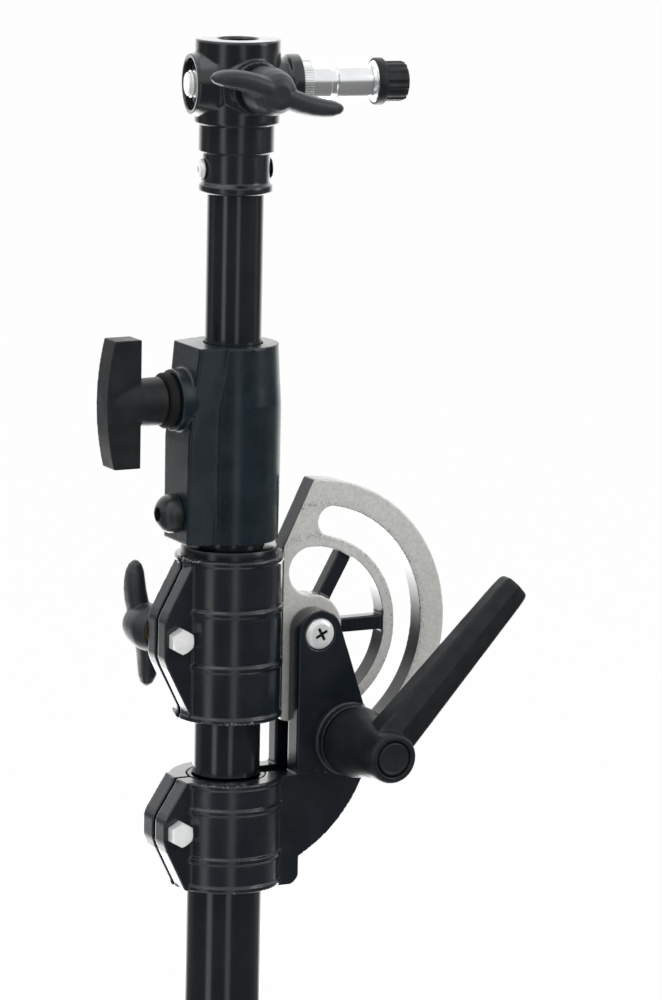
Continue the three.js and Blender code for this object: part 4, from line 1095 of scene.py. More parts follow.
    def lock_bolt(self) -> None:
        """The bolt that the lever pulls on, with its washers."""
        x, z = self.bolt
        wide, thin = HARDWARE.washer_radius, HARDWARE.washer
        bolt = HARDWARE.bolt("tilt_lock_bolt", self.back + thin + self.lever_base + 14.0)
        self.fasten(bolt, Facing.BACK, (x, self.back + thin, z), Body.COLUMN, "lock_bolt")
        washer = HARDWARE.ring("tilt_lock_washer", wide, thin)
        self.fasten(washer, Facing.BACK, (x, self.back, z), Body.COLUMN, "lock_washer")
        proud = self.front + self.boss
        thrust = HARDWARE.ring("thrust_washer", wide + 1, self.lever_base - proud - GAP)
        self.fasten(thrust, Facing.FRONT, (x, -proud, z), Body.COLUMN, "lever_thrust_washer")


@dataclass
class RatchetLever(Arm):
    """The lever that locks the tilt, made about +Z with its base at 0 and its arm along +X."""

    at: Triple = (53.6, -21.0, 182.0)
    degrees: float = 46.5
    height: float = 37.0
    base_radius: float = 16.0
    end_radius: float = 10.8
    cap_radius: float = 7.6
    cap_seat: float = 32.0
    arm_length: float = 97.0
    root_half: float = 10.0
    tip_half: float = 7.25
    root_depth: float = 15.0
    tip_depth: float = 10.0
    arm_centre: float = 24.0
    shoulder: float = 23.0
    lift: float = 4.0

    def build(self) -> None:
        """Model and dress the handle, the cap and the spring; the other inner pieces stay."""
        self.fit(self.swung(self.handle()), Body.LEVER_HANDLE, KNOB_PLASTIC, "lever_handle")
        self.fit(self.swung(self.cap()), Body.LEVER_CORE, KNOB_PLASTIC, "lever_cap")
        for node in ("lever_core", "lever_screw"):
            self.keep(node, DARK_STEEL)
        self.spring()

    def spring(self) -> None:
        """The handle's spring, a copy of the frame's with a mesh of its own; it is not flattened as the
        handle is pulled out.
        """
        piece = Bench.copied("handle_spring", "lever_spring")
        self.fit(piece, Body.LEVER_CORE, DARK_STEEL, "lever_spring")
        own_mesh(piece)

    def swung(self, piece: Piece) -> Piece:
        """Bring a piece from the bench to its place on the lock bolt."""
        return Bench.moved(piece, translation(self.at) @ rotation(-self.degrees, "Y") @ rotation(90, "X"))

    def arm_section(self, x: float, swell: float) -> list[Triple]:
        """The arm's cross section at a reach: flat back, ridged front."""
        share = x / self.arm_length
        half = (self.root_half + (self.tip_half - self.root_half) * share) * swell
        depth = (self.root_depth + (self.tip_depth - self.root_depth) * share) * swell
        low = self.arm_centre - depth / 2
        high = self.arm_centre + depth / 2
        ridge = half * 0.2
        edge = depth * 0.26
        return [(x, -half, low + 1), (x, -half + 1, low), (x, half - 1, low), (x, half, low + 1),
                (x, half, high - edge), (x, half - 1, high - edge + 0.9), (x, ridge, high),
                (x, -half + 1, high - edge + 0.2), (x, -half, high - edge - 0.8)]

    def handle(self) -> Piece:
        """The hub with its flared base, the arm and the bore for the core."""
        bore, neck = 7.9, 3.6
        hub = Bench.turned("ratchet_handle", [
            (self.base_radius - 0.6, 0), (self.base_radius, 0.6), (self.base_radius, 2.6), (15.6, 4.4),
            (14.2, 10.0), (12.6, 18.0), (11.5, 25.0), (11.1, 30.5), (11.3, 31.4), (11.3, 35.0),
            (self.end_radius, 36.4), (self.end_radius - 0.8, self.height)])
        reaches = ((0.0, 1.0), (30.0, 1.0), (60.0, 1.0), (90.0, 1.0), (94.8, 0.97), (96.4, 0.9),
                   (self.arm_length, 0.8))
        arm = Bench.lofted("arm", [self.arm_section(x, swell) for x, swell in reaches])
        Bench.combined(hub, Joining.WELD, arm)
        pocket = Bench.turned("pocket", [(bore, self.shoulder), (bore, self.height - 1.2),
                                         (bore + 1.0, self.height + 1)])
        Bench.combined(hub, Joining.CUT, Bench.plate("core", Drawing.gear(bore, 9.0, 12), -2, 20),
                       Bench.rod("neck", neck, 0, self.height, 48), pocket)
        return Bench.cast(hub, grain=0.42, passes=3)

    def cap(self) -> Piece:
        """The round cap in the hub's end."""
        radius, top = self.cap_radius, self.height
        rings = [(radius - 0.4, self.cap_seat), (radius, self.cap_seat + 0.4), (radius, top - 0.9),
                 (radius - 0.25, top - 0.4), (radius - 0.9, top), (radius - 1.6, top - 0.25),
                 (radius - 2.2, top - 0.35)]
        return Bench.smooth(Bench.turned("hub_cap", rings), 50)


@dataclass
class WingKnob:
    """A two-winged knob about +Z: a rounded hub and two wings along X that bend opposite ways."""

    half_span: float
    hub_length: float = 24.0
    root_low: float = 9.6
    tip_low: float = 14.7
    root_half: float = 4.8
    tip_half: float = 2.4
    curve: float = 1.8

    def model(self, name: str, bore: float, depth: float) -> Piece:
        """Model the knob.

        Args:
            name: The piece's name.
            bore: The radius of the blind hole for the screw.
            depth: The hole's depth.

        Returns:
            The knob.
        """
        knob = Bench.turned(name, [
            (8.0, 0), (8.5, 0.5), (9.6, 3.0), (10.5, 6.0), (10.6, 9.0), (10.4, 13.0), (9.8, 17.0),
            (8.6, 20.5), (6.6, 23.0), (4.0, self.hub_length)])
        Bench.combined(knob, Joining.WELD, self.bar())
        Bench.combined(knob, Joining.CUT, Bench.rod("hole", bore, -OVER, depth, 48))
        return Bench.cast(knob, grain=0.42, passes=6)

    def bar(self) -> Piece:
        """The bar that makes both wings, as rounded sections along X."""
        corners, softness = 24, 0.75
        half = (0.2, 0.38, 0.55, 0.7, 0.84, 0.94, 0.985, 1.0)
        sections = []
        for share in (*(-share for share in half[::-1]), 0.0, *half):
            reach = abs(share)
            ease = math.sqrt(max(0.08, 1 - reach**14))
            low = self.root_low + (self.tip_low - self.root_low) * reach
            high = self.hub_length - 0.2 + 0.8 * math.sin(math.pi * reach)
            half_width = self.tip_half + (self.root_half - self.tip_half) * math.sqrt(1 - reach**2)
            lean = -self.curve * math.sin(math.pi * share)
            section = []
            for i in range(corners):
                angle = (i + 0.5) * 2 * math.pi / corners
                across, along = (math.copysign(abs(part) ** softness, part)
                                 for part in (math.cos(angle), math.sin(angle)))
                section.append((share * self.half_span, lean + half_width * ease * across,
                                (low + high) / 2 + (high - low) / 2 * ease * along))
            sections.append(section)
        return Bench.lofted("bar", sections)


@dataclass
class TiltSector(Arm):
    """The upper collar with its sector plate, and what clamps the boom."""

    pivot: Point = (38.1, 231.1)
    half: float = 5.2
    radius: float = 67.7
    slot_outer: float = 56.2
    slot_inner: float = 42.4
    ring_inner: float = 37.4
    hub: float = 15.8
    slot_start: float = -73.5
    slot_end: float = 78.1
    top_degrees: float = 89.4
    bottom_degrees: float = -91.0
    neck: Point = (24.9, 270.4)
    spoke: float = 6.6
    spoke_degrees: tuple[float, ...] = (61.0, 0.0, -61.0)
    pocket_ends: tuple[float, float] = (90.0, -90.0)
    recess: float = 2.0
    bush_hole: float = 6.5
    insert: float = 18.0
    flange: tuple[float, float] = (21.6, 4.0)
    collar: Collar = field(default_factory=upper_collar)

    def build(self) -> None:
        """Model and dress the casting, its liners and its clamp."""
        self.casting()
        self.liners()
        self.clamp()

    def around(self, points: Sequence[Point]) -> list[Point]:
        """Move an outline drawn about the pivot to its place."""
        return [(x + self.pivot[0], z + self.pivot[1]) for x, z in points]

    def outline(self) -> list[Point]:
        """The sector plate's outline with its root in the collar."""
        neck = self.neck[0] - self.pivot[0]
        low = math.degrees(math.acos(-neck / self.slot_inner)) - 180
        arc = [*Drawing.arc((0, 0), self.radius, self.top_degrees, self.bottom_degrees, 96),
               *Drawing.arc((0, 0), self.slot_inner, self.bottom_degrees, low, 8)]
        return [(0.0, self.collar.top), (self.collar.radius, self.collar.top), self.neck, *self.around(arc),
                (self.collar.radius, self.collar.bottom), (0.0, self.collar.bottom)]

    def slot(self) -> list[Point]:
        """The curved slot's outline."""
        middle = (self.slot_outer + self.slot_inner) / 2
        half = (self.slot_outer - self.slot_inner) / 2
        points = Drawing.arc((0, 0), self.slot_outer, self.slot_start, self.slot_end, 72)
        for degrees, turn in ((self.slot_end, 0.0), (self.slot_start, 180.0)):
            angle = math.radians(degrees)
            centre = (middle * math.cos(angle), middle * math.sin(angle))
            points += Drawing.arc(centre, half, degrees + turn, degrees + turn + 180, 16)[1:-1]
            if not turn:
                points += Drawing.arc((0, 0), self.slot_inner, self.slot_end, self.slot_start, 72)
        return self.around(points)

    def pockets(self) -> list[list[Point]]:
        """The openings between the spokes."""
        stops = [self.pocket_ends[0], *self.spoke_degrees, self.pocket_ends[1]]
        steps = 24
        made = []
        for i in range(len(stops) - 1):
            high_half = self.spoke / 2 if i else 0.0
            low_half = self.spoke / 2 if i < len(stops) - 2 else 0.0
            points: list[Point] = []
            for radius, turn in ((self.ring_inner, False), (self.hub, True)):
                high = stops[i] - math.degrees(math.asin(high_half / radius))
                low = stops[i + 1] + math.degrees(math.asin(low_half / radius))
                start, end = (high, low) if turn else (low, high)
                points += Drawing.arc((0, 0), radius, start, end, steps)
            if not i:
                middle, half = (self.ring_inner + self.hub) / 2, (self.ring_inner - self.hub) / 2
                points[steps + 1:steps + 1] = Drawing.arc((0.0, middle), half, 90, 270, steps)[1:-1]
            made.append(self.around(points))
        return made

    def through(self, piece: Piece) -> Piece:
        """Bring a piece made about +Z to the pivot's axis."""
        return Bench.placed(piece, Facing.FRONT, (self.pivot[0], 0, self.pivot[1]))

    def casting(self) -> None:
        """The upper collar with the sector plate."""
        body = self.collar.barrel("sector_casting")
        plate = Bench.slab("plate", self.outline(), -self.half, self.half)
        face, wide = self.half + OVER, self.spoke / 2 + OVER
        floor = self.half - self.recess
        tools = [Bench.slab("opening", points, -face, face) for points in (self.slot(), *self.pockets())]
        for degrees in self.spoke_degrees:
            for front, back in ((-face, -floor), (floor, face)):
                bar = Bench.block("recess", (self.hub, front, -wide), (self.ring_inner - 0.4, back, wide))
                place = translation((self.pivot[0], 0, self.pivot[1])) @ rotation(-degrees, "Y")
                tools.append(Bench.moved(bar, place))
        tools.append(self.through(Bench.rod("hole", self.bush_hole, -face, face)))
        Bench.combined(plate, Joining.CUT, *tools)
        Bench.combined(body, Joining.WELD, self.collar.ears(), plate)
        Bench.combined(body, Joining.CUT, *self.collar.tools())
        Bench.cast(body, grain=0.5, passes=2)
        self.fit(body, Body.SWIVEL, SECTOR_PAINT, "tilt_sector")

    def liners(self) -> None:
        """The collar's liner and the pivot's bush."""
        bottom, seat, inner, outer = self.collar.bottom, self.collar.top, 15.3, 17.9
        rim, top = self.flange[0], seat + self.flange[1]
        liner = Bench.turned("tube_liner", [
            (inner + 0.4, bottom), (outer, bottom), (outer, seat), (rim, seat), (rim, top - 1.0),
            (rim - 0.3, top - 0.3), (rim - 1.0, top), (inner + 0.4, top), (inner, top - 0.4),
            (inner, bottom + 0.4)], hollow=True)
        self.fit(Bench.smooth(liner), Body.SWIVEL, NYLON, "collar_liner")
        half = self.half
        bush = Bench.turned("hub_bush", [(4.3, -half), (6.2, -half), (6.2, half), (4.3, half)], hollow=True,
                            sides=64)
        self.fit(Bench.smooth(self.through(bush)), Body.SWIVEL, BRASS, "pivot_bush")

    def clamp(self) -> None:
        """The clamp bolt and the wing knob behind the collar."""
        face, washer = self.collar.ear_face, HARDWARE.washer
        bolt = CLAMP.bolt("boom_clamp_bolt", 2 * face + washer + self.insert)
        self.fasten(bolt, Facing.FRONT, self.collar.along(-face), Body.SWIVEL, "upper_clamp_bolt")
        disc = CLAMP.ring("boom_wing_washer", CLAMP.washer_radius, CLAMP.washer)
        self.fasten(disc, Facing.BACK, self.collar.along(face), Body.SWIVEL, "wing_washer")
        at = self.collar.along(face + washer + GAP)
        bore, outside, end = 3.3, 6.5, self.insert
        insert = Bench.turned("wing_insert", [(bore, 1), (outside, 1), (outside, end), (bore, end)],
                              hollow=True, sides=64)
        Bench.placed(insert, Facing.BACK, at)
        self.fit(Bench.smooth(insert), Body.COLLAR_WING, BRASS, "collar_wing_insert")
        knob = WingKnob(29.0).model("boom_wing_knob", outside + GAP, end + GAP)
        Bench.placed(knob, Facing.BACK, at, roll=84)
        self.fit(knob, Body.COLLAR_WING, WING_PLASTIC, "collar_wing_knob")


@dataclass
class BoomTube(Arm):
    """The boom's tube and the section lock on its end."""

    radius: float = 15.0
    wall: float = 1.5
    tail: float = 168.5
    top: float = 318.0
    bottom: float = 275.0
    height: float = 87.0
    belly: float = 21.6
    crown: float = 20.0
    pad_reach: float = 26.7
    knob_z: float = 338.0
    boss_radius: float = 13.6
    boss_reach: float = 30.0
    screw_z: float = 287.6
    mast_radius: float = 12.5

    def build(self) -> None:
        """Model and dress the tube and the lock."""
        self.tube()
        self.casting()
        self.fittings()

    def tube(self) -> None:
        """The 30 mm tube."""
        tube = Bench.pipe("boom_pipe", (self.radius, self.radius - self.wall), self.tail, self.top)
        self.fit(tube, Body.BOOM, TUBE_PAINT, "boom_tube")

    def pad_section(self, height: float, reach: float, half: float, root: Point) -> list[Triple]:
        """The pad's cross section at a height, with eased corners."""
        (root_x, root_y), tip = root, half + 0.2
        corners = ((-reach, -half + 0.8), (-reach, half - 0.8), (-reach + 0.6, tip), (-root_x, root_y),
                   (0, root_y), (0, -root_y), (-root_x, -root_y), (-reach + 0.6, -tip))
        return [(*corner, height) for corner in corners]

    def casting(self) -> None:
        """The section lock's body."""
        low, high = self.bottom, self.bottom + self.height
        body = Bench.turned("lock_casting", [
            (self.belly - 0.4, low), (self.belly, low + 30), (self.belly, low + 61), (20.9, low + 70),
            (self.crown, high)], sides=128)
        pad = Bench.lofted("pad", [
            self.pad_section(low, self.pad_reach, 12.2, (15.8, 15.4)),
            self.pad_section(low + 45, self.pad_reach, 12.6, (13.83, 16.23)),
            self.pad_section(high, 22.5, 13.7, (12.0, 17.0))])
        boss = Bench.rod("boss", self.boss_radius, 10, self.boss_reach)
        Bench.combined(body, Joining.WELD, pad, Bench.placed(boss, Facing.LEFT, (0, 0, self.knob_z)))
        tools = [Bench.rod("wide", self.radius + GAP, low - OVER, high - 4, 128),
                 Bench.rod("mouth", self.mast_radius + 0.6, low, high + OVER, 128)]
        for level in (self.knob_z, self.screw_z):
            hole = Bench.rod("hole", HARDWARE.radius + GAP, 0, self.boss_reach + OVER, 48)
            tools.append(Bench.placed(hole, Facing.LEFT, (0, 0, level)))
        Bench.combined(body, Joining.CUT, *tools)
        Bench.cast(body, grain=0.5, passes=3)
        self.fit(body, Body.BOOM, SLATE_PAINT, "section_lock")

    def fittings(self) -> None:
        """The guide bush, the brake shoe and the domed socket screw."""
        Bench.smooth(self.fit(Bench.copied("mast_guide", "mast_bush"), Body.BOOM, NYLON, "mast_bush"), 30)
        self.keep("brake_shoe", BRASS)
        rim = 8.6
        dome = [(4.0, -12.7), (4.0, 0.0), (8.3, 0.0), (rim, 0.4), (rim, 2.0)]
        for i in range(1, 10):
            angle = math.radians(i * 9)
            dome.append((rim * math.cos(angle), 2.4 + 7.1 * math.sin(angle)))
        screw = Bench.turned("dome_screw", [*dome, (0.6, 9.5)])
        socket = Bench.plate("socket", Drawing.hexagon(6.0), 5.5, 12)
        dish = Bench.turned("dish", [(3.5, 8.9), (4.3, 11)], sides=48)
        Bench.combined(screw, Joining.CUT, socket, dish)
        Bench.smooth(screw, 35)
        Bench.placed(screw, Facing.LEFT, (-self.pad_reach, 0, self.screw_z))
        self.fit(screw, Body.BOOM, DOME_PAINT, "section_clamp_screw")


@dataclass
class TeeKnob(Arm):
    """The T-knob that brakes the mast, made towards -X."""

    z: float = 338.0
    inner: float = 47.0
    outer: float = 63.0
    bulge: float = 3.5
    half: float = 28.3
    thickness: float = 12.0
    stem: float = 10.6
    boss_reach: float = 30.0
    seal: float = 5.0
    seal_radius: float = 12.2
    hole: float = 4.3

    def build(self) -> None:
        """Model and dress the knob and its seal; the screw stays."""
        self.knob()
        low, high, wide, soft = self.boss_reach, self.boss_reach + self.seal, self.seal_radius, 1.2
        seal = Bench.turned("knob_seal", [
            (self.hole, low), (wide - soft, low), (wide, low + soft), (wide, high - soft),
            (wide - soft, high), (self.hole, high)], hollow=True)
        Bench.placed(Bench.smooth(seal, 60), Facing.LEFT, (0, 0, self.z))
        self.fit(seal, Body.TEE_KNOB, RUBBER, "tee_seal")
        self.keep("tee_screw", ZINC)

    def knob(self) -> None:
        """The stem and the blade."""
        shares = [i / 6 - 1 for i in range(13)]
        top = [(self.bulge * share**2 - self.outer, share * self.half) for share in shares]
        outline = [(-self.inner, -self.half), *top, (-self.inner, self.half)]
        blade = Bench.slab("tee_handle", outline, -self.thickness / 2, self.thickness / 2)
        start = self.boss_reach + self.seal + GAP
        stem = Bench.turned("stem", [
            (self.stem - 0.6, start), (self.stem, start + 0.6), (self.stem - 0.2, self.inner - 4),
            (self.stem - 0.3, self.inner), (8.6, self.inner + 6), (6.4, self.outer - 3), (3.5, self.outer)])
        Bench.combined(blade, Joining.WELD, Bench.placed(stem, Facing.LEFT))
        hole = Bench.rod("hole", self.hole, start - OVER, self.inner, 48)
        Bench.combined(blade, Joining.CUT, Bench.placed(hole, Facing.LEFT))
        Bench.cast(blade, grain=0.42, passes=4)
        Bench.placed(blade, at=(0, 0, self.z))
        self.fit(blade, Body.TEE_KNOB, KNOB_PLASTIC, "tee_knob")


@dataclass
class Mast(Arm):
    """The 25 mm mast and its shoe."""

    radius: float = 12.5
    wall: float = 1.5
    tail: float = 186.0
    top: float = 458.0

    def build(self) -> None:
        """Model and dress the mast; its hidden shoe stays."""
        tube = Bench.pipe("mast_pipe", (self.radius, self.radius - self.wall), self.tail, self.top)
        self.fit(tube, Body.MAST, TUBE_PAINT, "mast_tube")
        self.keep("mast_shoe", NYLON)


@dataclass
class Head(Arm):
    """The head casting with its screws and wing knob, made with its top at 0 and then turned."""

    top: float = 495.0
    yaw: float = -10.0
    wing_yaw: float = 8.0
    cross: float = -19.5
    screw_drop: float = -56.7

    def build(self) -> None:
        """Model and dress the head."""
        self.casting()
        self.screws()
        self.wing()

    def settled(self, piece: Piece, aside: float = 0.0) -> Piece:
        """Bring a piece from the bench to the head's place.

        Args:
            piece: The piece.
            aside: A further turn about +Z, in degrees.

        Returns:
            The piece.
        """
        return Bench.moved(piece, translation((0, 0, self.top)) @ rotation(self.yaw + aside, "Z"))

    def boss(self, rings: Sequence[Ring], facing: Facing) -> Piece:
        """A form along the cross bore."""
        return Bench.placed(Bench.turned("boss", rings), facing, (0, 0, self.cross))

    def wingward(self, rings: Sequence[Ring]) -> Piece:
        """A form along the wing knob's axis."""
        return Bench.moved(self.boss(rings, Facing.FRONT), rotation(self.wing_yaw, "Z"))

    def casting(self) -> None:
        """The head's body: sleeve, cross bore and open socket."""
        body = Bench.turned("head_body", [
            (15.2, -67.0), (16.2, -66.0), (16.2, -63.6), (15.3, -62.8), (14.8, -62.2), (14.8, -49.0),
            (16.6, -48.8), (16.6, -36.7), (18.5, -36.5), (18.7, -35.5), (18.7, -0.6), (18.1, 0.0)], sides=128)
        left = [(17.5, 0), (17.5, 8), (16.4, 13), (14.6, 17), (13.4, 20), (13.2, 21.5)]
        right = [(16, 0), (15.5, 10), (12.4, 17), (11.2, 19.6), (11.4, 21), (12.4, 22.4), (12.6, 24),
                 (12.6, 27.2)]
        front = [(16.4, 0), (16, 8), (14, 14), (11.9, 18), (11.4, 21.5)]
        Bench.combined(body, Joining.WELD, self.boss(left, Facing.LEFT), self.boss(right, Facing.RIGHT),
                       self.wingward(front))
        cross_bore = self.boss([(6.3, -24), (6.3, 30)], Facing.RIGHT)
        mouth = self.boss([(11.0, 17), (11.3, 21), (11.9, 24)], Facing.LEFT)
        wing_hole = self.wingward([(4.3, 0), (4.3, 24)])
        socket = Bench.turned("socket", [(8.75, -30), (8.75, -0.8), (10.4, 1)])
        sleeve = Bench.rod("sleeve", 12.8, -69, -36.7)
        pin_hole = Bench.placed(Bench.rod("hole", 2.5, -17, 17, 32), Facing.RIGHT, (0, 0, self.screw_drop))
        Bench.combined(body, Joining.CUT, cross_bore, mouth, wing_hole, socket, sleeve, pin_hole)
        Bench.cast(body, grain=0.42, passes=2)
        self.fit(self.settled(body), Body.MAST, HEAD_PAINT, "head_casting")

    def screws(self) -> None:
        """The two low screws that pin the head to the mast."""
        for name, node, facing, finish, top in (
            ("pin_screw_left", "head_screw_left", Facing.LEFT, ZINC, 17.1),
            ("pin_screw_right", "head_screw_right", Facing.RIGHT, DARK_STEEL, 15.9),
        ):
            seat = 15.1
            middle = (seat + top) / 2
            screw = Bench.turned(name, [
                (2.2, 10.0), (2.2, seat), (4.5, seat), (4.65, seat + 0.1), (4.65, middle), (4.3, top - 0.2),
                (3.3, top), (2.0, top)], sides=64)
            recess = Bench.turned("recess", [(1.7, middle), (1.9, 18)], sides=6)
            Bench.combined(screw, Joining.CUT, recess)
            Bench.smooth(screw, 35)
            Bench.placed(screw, facing, (0, 0, self.screw_drop))
            self.fit(self.settled(screw), Body.MAST, finish, node)

    def wing(self) -> None:
        """The wing knob towards the front, and its screw."""
        seat, depth = 21.8, 18.0
        knob = WingKnob(32.0).model("head_wing", 4.3, depth + GAP)
        Bench.placed(knob, Facing.FRONT, (0, -seat, self.cross), roll=-14)
        self.fit(self.settled(knob, self.wing_yaw), Body.HEAD_WING, WING_PLASTIC, "head_wing_knob")
        self.keep("head_wing_screw", ZINC)


@dataclass
class Spigot(Arm):
    """The spigot, its stud and its cap, made about +Z from the boom's axis outwards."""

    head: Head = field(default_factory=Head)

    def build(self) -> None:
        """Model and dress the spigot's three pieces."""
        self.spigot()
        self.stud()
        self.cap()

    def out(self, piece: Piece) -> Piece:
        """Turn a piece to the head's right side and settle it there."""
        return self.head.settled(Bench.placed(piece, Facing.RIGHT, (0, 0, self.head.cross)))

    def spigot(self) -> None:
        """The turned spigot with its serrated flange."""
        body = Bench.turned("spigot_pin", [
            (6.3, 31.9), (7.7, 32.0), (8.0, 32.4), (8.0, 40.7), (7.7, 41.0), (6.9, 41.0), (6.6, 41.4),
            (6.6, 43.4), (6.9, 43.8), (7.7, 43.8), (8.0, 44.1), (8.0, 57.3), (6.9, 61.6), (8.9, 61.6),
            (9.2, 61.9), (9.2, 64.4), (8.9, 64.7), (4.5, 64.7), (4.5, 31.9)], hollow=True, sides=128)
        flange = Bench.plate("flange", Drawing.gear(9.5, 10.0, 56), 27.5, 32.0)
        Bench.combined(flange, Joining.CUT, Bench.rod("hole", 6.3, 26, 33, 64))
        Bench.combined(body, Joining.WELD, flange)
        Bench.combined(body, Joining.CUT, Bench.block("mark", (-1.6, -10, 62.4), (1.6, -8.7, 63.4)))
        Bench.smooth(body, 35)
        self.fit(self.out(body), Body.SPIGOT, ALUMINIUM, "spigot")

    def stud(self) -> None:
        """The stud through the head, threaded where it shows."""
        thread = Drawing.thread(6.0, -22.2, -8.0, 1.75, 0.8)
        stud = Bench.turned("spigot_bolt", [
            (4.6, -23), (5.1, -22.6), *thread, (6.0, -7.4), (6.0, 31.7), (4.2, 31.7), (4.2, 72.4), (3.6, 73)])
        self.fit(self.out(Bench.smooth(stud, 30)), Body.SPIGOT, ZINC, "spigot_stud")

    def cap(self) -> None:
        """The ribbed cap with its skirt."""
        seat, end, under = 65.0, 76.6, 59.0
        ribs = Drawing.gear(8.3, 8.8, 14)
        crown = [(x * 0.93, y * 0.93) for x, y in ribs]
        sections = [[(x, y, height) for x, y in outline]
                    for outline, height in ((ribs, seat), (ribs, end - 2.2), (crown, end - 0.6))]
        cap = Bench.lofted("end_cap", sections)
        face = Bench.turned("face", [(8.1, seat), (8.1, end - 1.6), (7.7, end - 0.7), (6.7, end)])
        skirt = Bench.turned("skirt", [(9.9, 61.9), (10.3, 62.4), (10.3, seat + 0.4), (9.9, seat + 1)])
        Bench.combined(cap, Joining.WELD, face, skirt)
        Bench.combined(cap, Joining.CUT, Bench.rod("room", 9.5, under, seat),
                       Bench.rod("bore", 4.5, under, 73.3, 48))
        Bench.eased(cap, width=0.25, degrees=35)
        self.fit(self.out(cap), Body.SPIGOT_CAP, KNOB_PLASTIC, "spigot_cap")


def beside(azimuth: float, distance: float, height: float = 0.0) -> Vector:
    """A place at a bearing in degrees from the front, in metres."""
    angle = math.radians(azimuth)
    return Vector((math.sin(angle) * distance, -math.cos(angle) * distance, height))


@dataclass
class Lamp:
    """A soft rectangular light that faces the arm."""

    name: str
    azimuth: float
    distance: float
    height: float
    size: tuple[float, float]
    power: float

    def place(self, target: Triple) -> None:
        """Add the light, pointed at a target."""
        location = beside(self.azimuth, self.distance, self.height)
        data = bpy.data.lights.new(self.name, "AREA")
        data.shape = "RECTANGLE"
        data.size, data.size_y = self.size
        data.energy = self.power
        lamp = linked(self.name, data)
        lamp.location = location
        lamp.rotation_euler = (Vector(target) - location).to_track_quat("-Z", "Y").to_euler()
        lamp.visible_camera = False


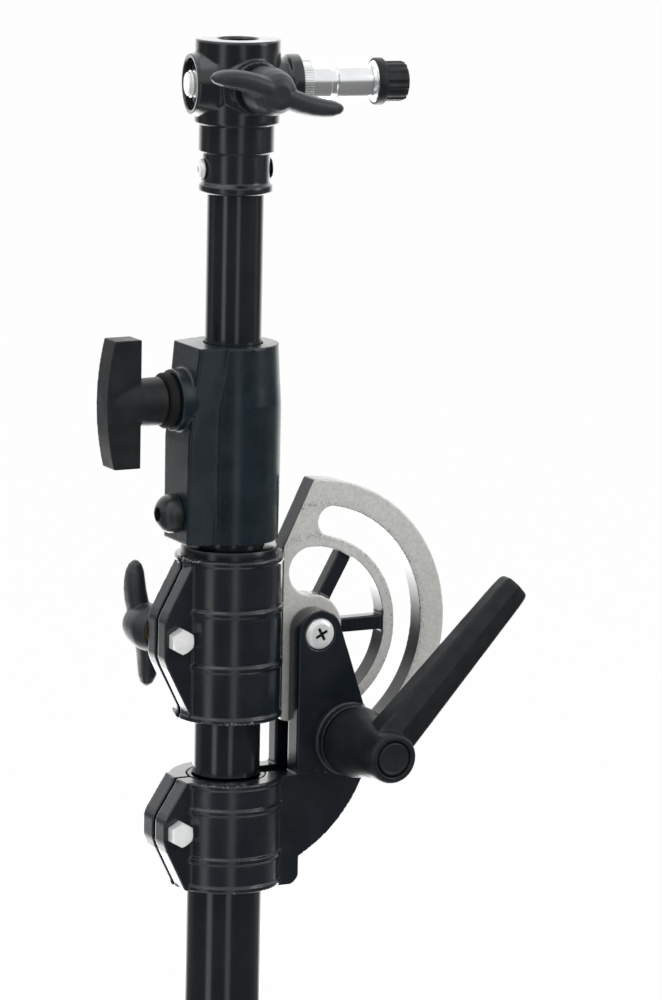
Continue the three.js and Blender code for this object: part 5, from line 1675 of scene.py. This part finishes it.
@dataclass
class Studio:
    """The camera, the pale floor and the light.

    Attributes:
        azimuth: The camera's bearing from the front, in degrees.
        pitch: How far it looks down.
        yaw: How far it looks aside.
        roll: How far it leans.
        distance: How far away it is, in metres.
        height: How high it stands.
        lens: Its focal length.
        cards: White cards seen in reflections: bearing, outer and inner half width, brightness.
        dim: The brightness between the cards.
        apron: How bright the floor is close behind the arm.
        apron_bands: How far behind the arm that begins and ends, each with a soft edge.
        shadow: The least and most distance of the patch below the arm, and its brightness.
        ceiling: The brightness from above.
        ceiling_band: How steeply upwards that begins and is full.
        floor_radius: The floor's radius, in metres.
        floor_drop: How far below the part it lies.
        paper: The floor's grey.
        paper_share: How much of the camera's view of the floor is plain white.
        fill: The strength of the light from all around.
    """

    azimuth: float = -26.75
    pitch: float = 10.9
    yaw: float = 1.139
    roll: float = 1.177
    distance: float = 2.226
    height: float = 0.721
    lens: float = 185.4
    cards: tuple[tuple[float, float, float, float], ...] = (
        (180.0, 60.0, 25.0, 1.7), (-41.0, 10.0, 4.0, 1.3), (14.0, 9.0, 3.0, 0.9))
    dim: float = 0.1
    apron: float = 3.0
    apron_bands: tuple[tuple[float, float], ...] = ((0.0, 0.2), (0.4, 1.1))
    shadow: Triple = (0.12, 0.24, 0.7)
    ceiling: float = 0.9
    ceiling_band: tuple[float, float] = (0.0, 0.3)
    floor_radius: float = 7.0
    floor_drop: float = 0.0005
    paper: float = 0.85
    paper_share: float = 0.96
    fill: float = 0.8

    def build(self) -> None:
        """Set the stage, the camera and the light."""
        self.camera()
        self.floor()
        self.world()
        middle = (0.0, 0.0, 0.3)
        Lamp("over", self.azimuth - 60, distance=0.9, height=2.0, size=(1.4, 1.4), power=6.0).place(middle)
        Lamp("side", self.azimuth + 75, distance=1.6, height=0.9, size=(0.6, 1.2), power=5.0).place(middle)
        bpy.context.scene.view_settings.view_transform = "Standard"

    def camera(self) -> None:
        """The camera at the photograph's view."""
        data = bpy.data.cameras.new("camera")
        data.lens = self.lens
        data.clip_start, data.clip_end = 0.1, 60.0
        camera = linked("camera", data)
        aim = rotation(self.azimuth - self.yaw, "Z") @ rotation(90 - self.pitch, "X")
        place = Matrix.Translation(beside(self.azimuth, self.distance, self.height))
        camera.matrix_world = place @ aim @ rotation(self.roll, "Z")
        bpy.context.scene.camera = camera

    def shade(self, nodes: Nodes, place: Socket) -> object:
        """How bright the studio is in reflections: white behind the arm, two cards in front, dark elsewhere.

        Args:
            nodes: The shader's nodes.
            place: A direction seen from the arm.

        Returns:
            The brightness.
        """
        level = nodes.vector("NORMALIZE", nodes.scaled(place, (1.0, 1.0, 0.0)))
        bright: object = self.dim
        for bearing, edge, middle, strength in self.cards:
            towards = nodes.vector("DOT_PRODUCT", level, beside(self.azimuth + bearing, 1.0))
            rim, full = (math.cos(math.radians(angle)) for angle in (edge, middle))
            bright = nodes.math("MAXIMUM", bright, nodes.ramp(towards, rim, full, 0.0, strength))
        return bright

    def floor(self) -> None:
        """A pale floor that keeps the arm's shadow."""
        Bench.only()
        bpy.ops.mesh.primitive_circle_add(
            vertices=96, radius=self.floor_radius, fill_type="NGON", location=(0, 0, -self.floor_drop))
        floor = bpy.context.active_object
        floor.name = "floor"
        material = bpy.data.materials.new("floor_paper")
        material.use_nodes = True
        nodes = Nodes(material.node_tree)
        seen, shine = nodes.rays()
        place = nodes.add("ShaderNodeTexCoord").outputs["Object"]
        behind = nodes.vector("DOT_PRODUCT", place, beside(self.azimuth + 180, 1.0))
        begins, ends = self.apron_bands
        close = nodes.math("MINIMUM", nodes.ramp(behind, *begins, 1.0, self.apron),
                           nodes.ramp(behind, *ends, self.apron, 1.0))
        near, far, dark = self.shadow
        under = nodes.ramp(nodes.vector("LENGTH", place), near, far, dark, 0.0)
        bright = nodes.math("MAXIMUM", nodes.product(self.shade(nodes, place), close), under)
        strength = nodes.math("MAXIMUM", seen, nodes.product(bright, shine))
        paper = nodes.add("ShaderNodeBsdfDiffuse", Color=grey(self.paper))
        glow = nodes.add("ShaderNodeEmission", Color=grey(1.0), Strength=strength)
        mix = nodes.add("ShaderNodeMixShader")
        share = nodes.math("MAXIMUM", shine, nodes.product(seen, self.paper_share))
        for socket, value in enumerate((share, paper.outputs[0], glow.outputs[0])):
            nodes.feed(mix, socket, value)
        nodes.add("ShaderNodeOutputMaterial", Surface=mix.outputs[0])
        floor.data.materials.append(material)

    def world(self) -> None:
        """White to the camera and in reflections, softer as light."""
        world = bpy.data.worlds.new("studio")
        bpy.context.scene.world = world
        world.use_nodes = True
        nodes = Nodes(world.node_tree)
        seen, shine = nodes.rays()
        direction = nodes.add("ShaderNodeTexCoord").outputs["Generated"]
        ceiling = nodes.ramp(nodes.axis(direction, 2), *self.ceiling_band, 0.0, self.ceiling)
        glossy = nodes.product(shine, nodes.math("MAXIMUM", self.shade(nodes, direction), ceiling))
        fill = nodes.product(nodes.math("SUBTRACT", 1.0, shine), self.fill)
        strength = nodes.math("MAXIMUM", nodes.math("MAXIMUM", glossy, seen), fill)
        background = nodes.add("ShaderNodeBackground", Color=grey(1.0), Strength=strength)
        nodes.add("ShaderNodeOutputWorld", Surface=background.outputs[0])


def main() -> None:
    """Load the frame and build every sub-assembly in order."""
    logging.basicConfig(level=logging.INFO, format="%(message)s")
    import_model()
    for kind in (Stand, SwivelBracket, RatchetLever, TiltSector, BoomTube, TeeKnob, Mast, Head, Spigot):
        log.info("building %s", kind.__name__)
        kind().build()
    Studio().build()
    Bench.only()


if __name__ == "__main__":
    main()
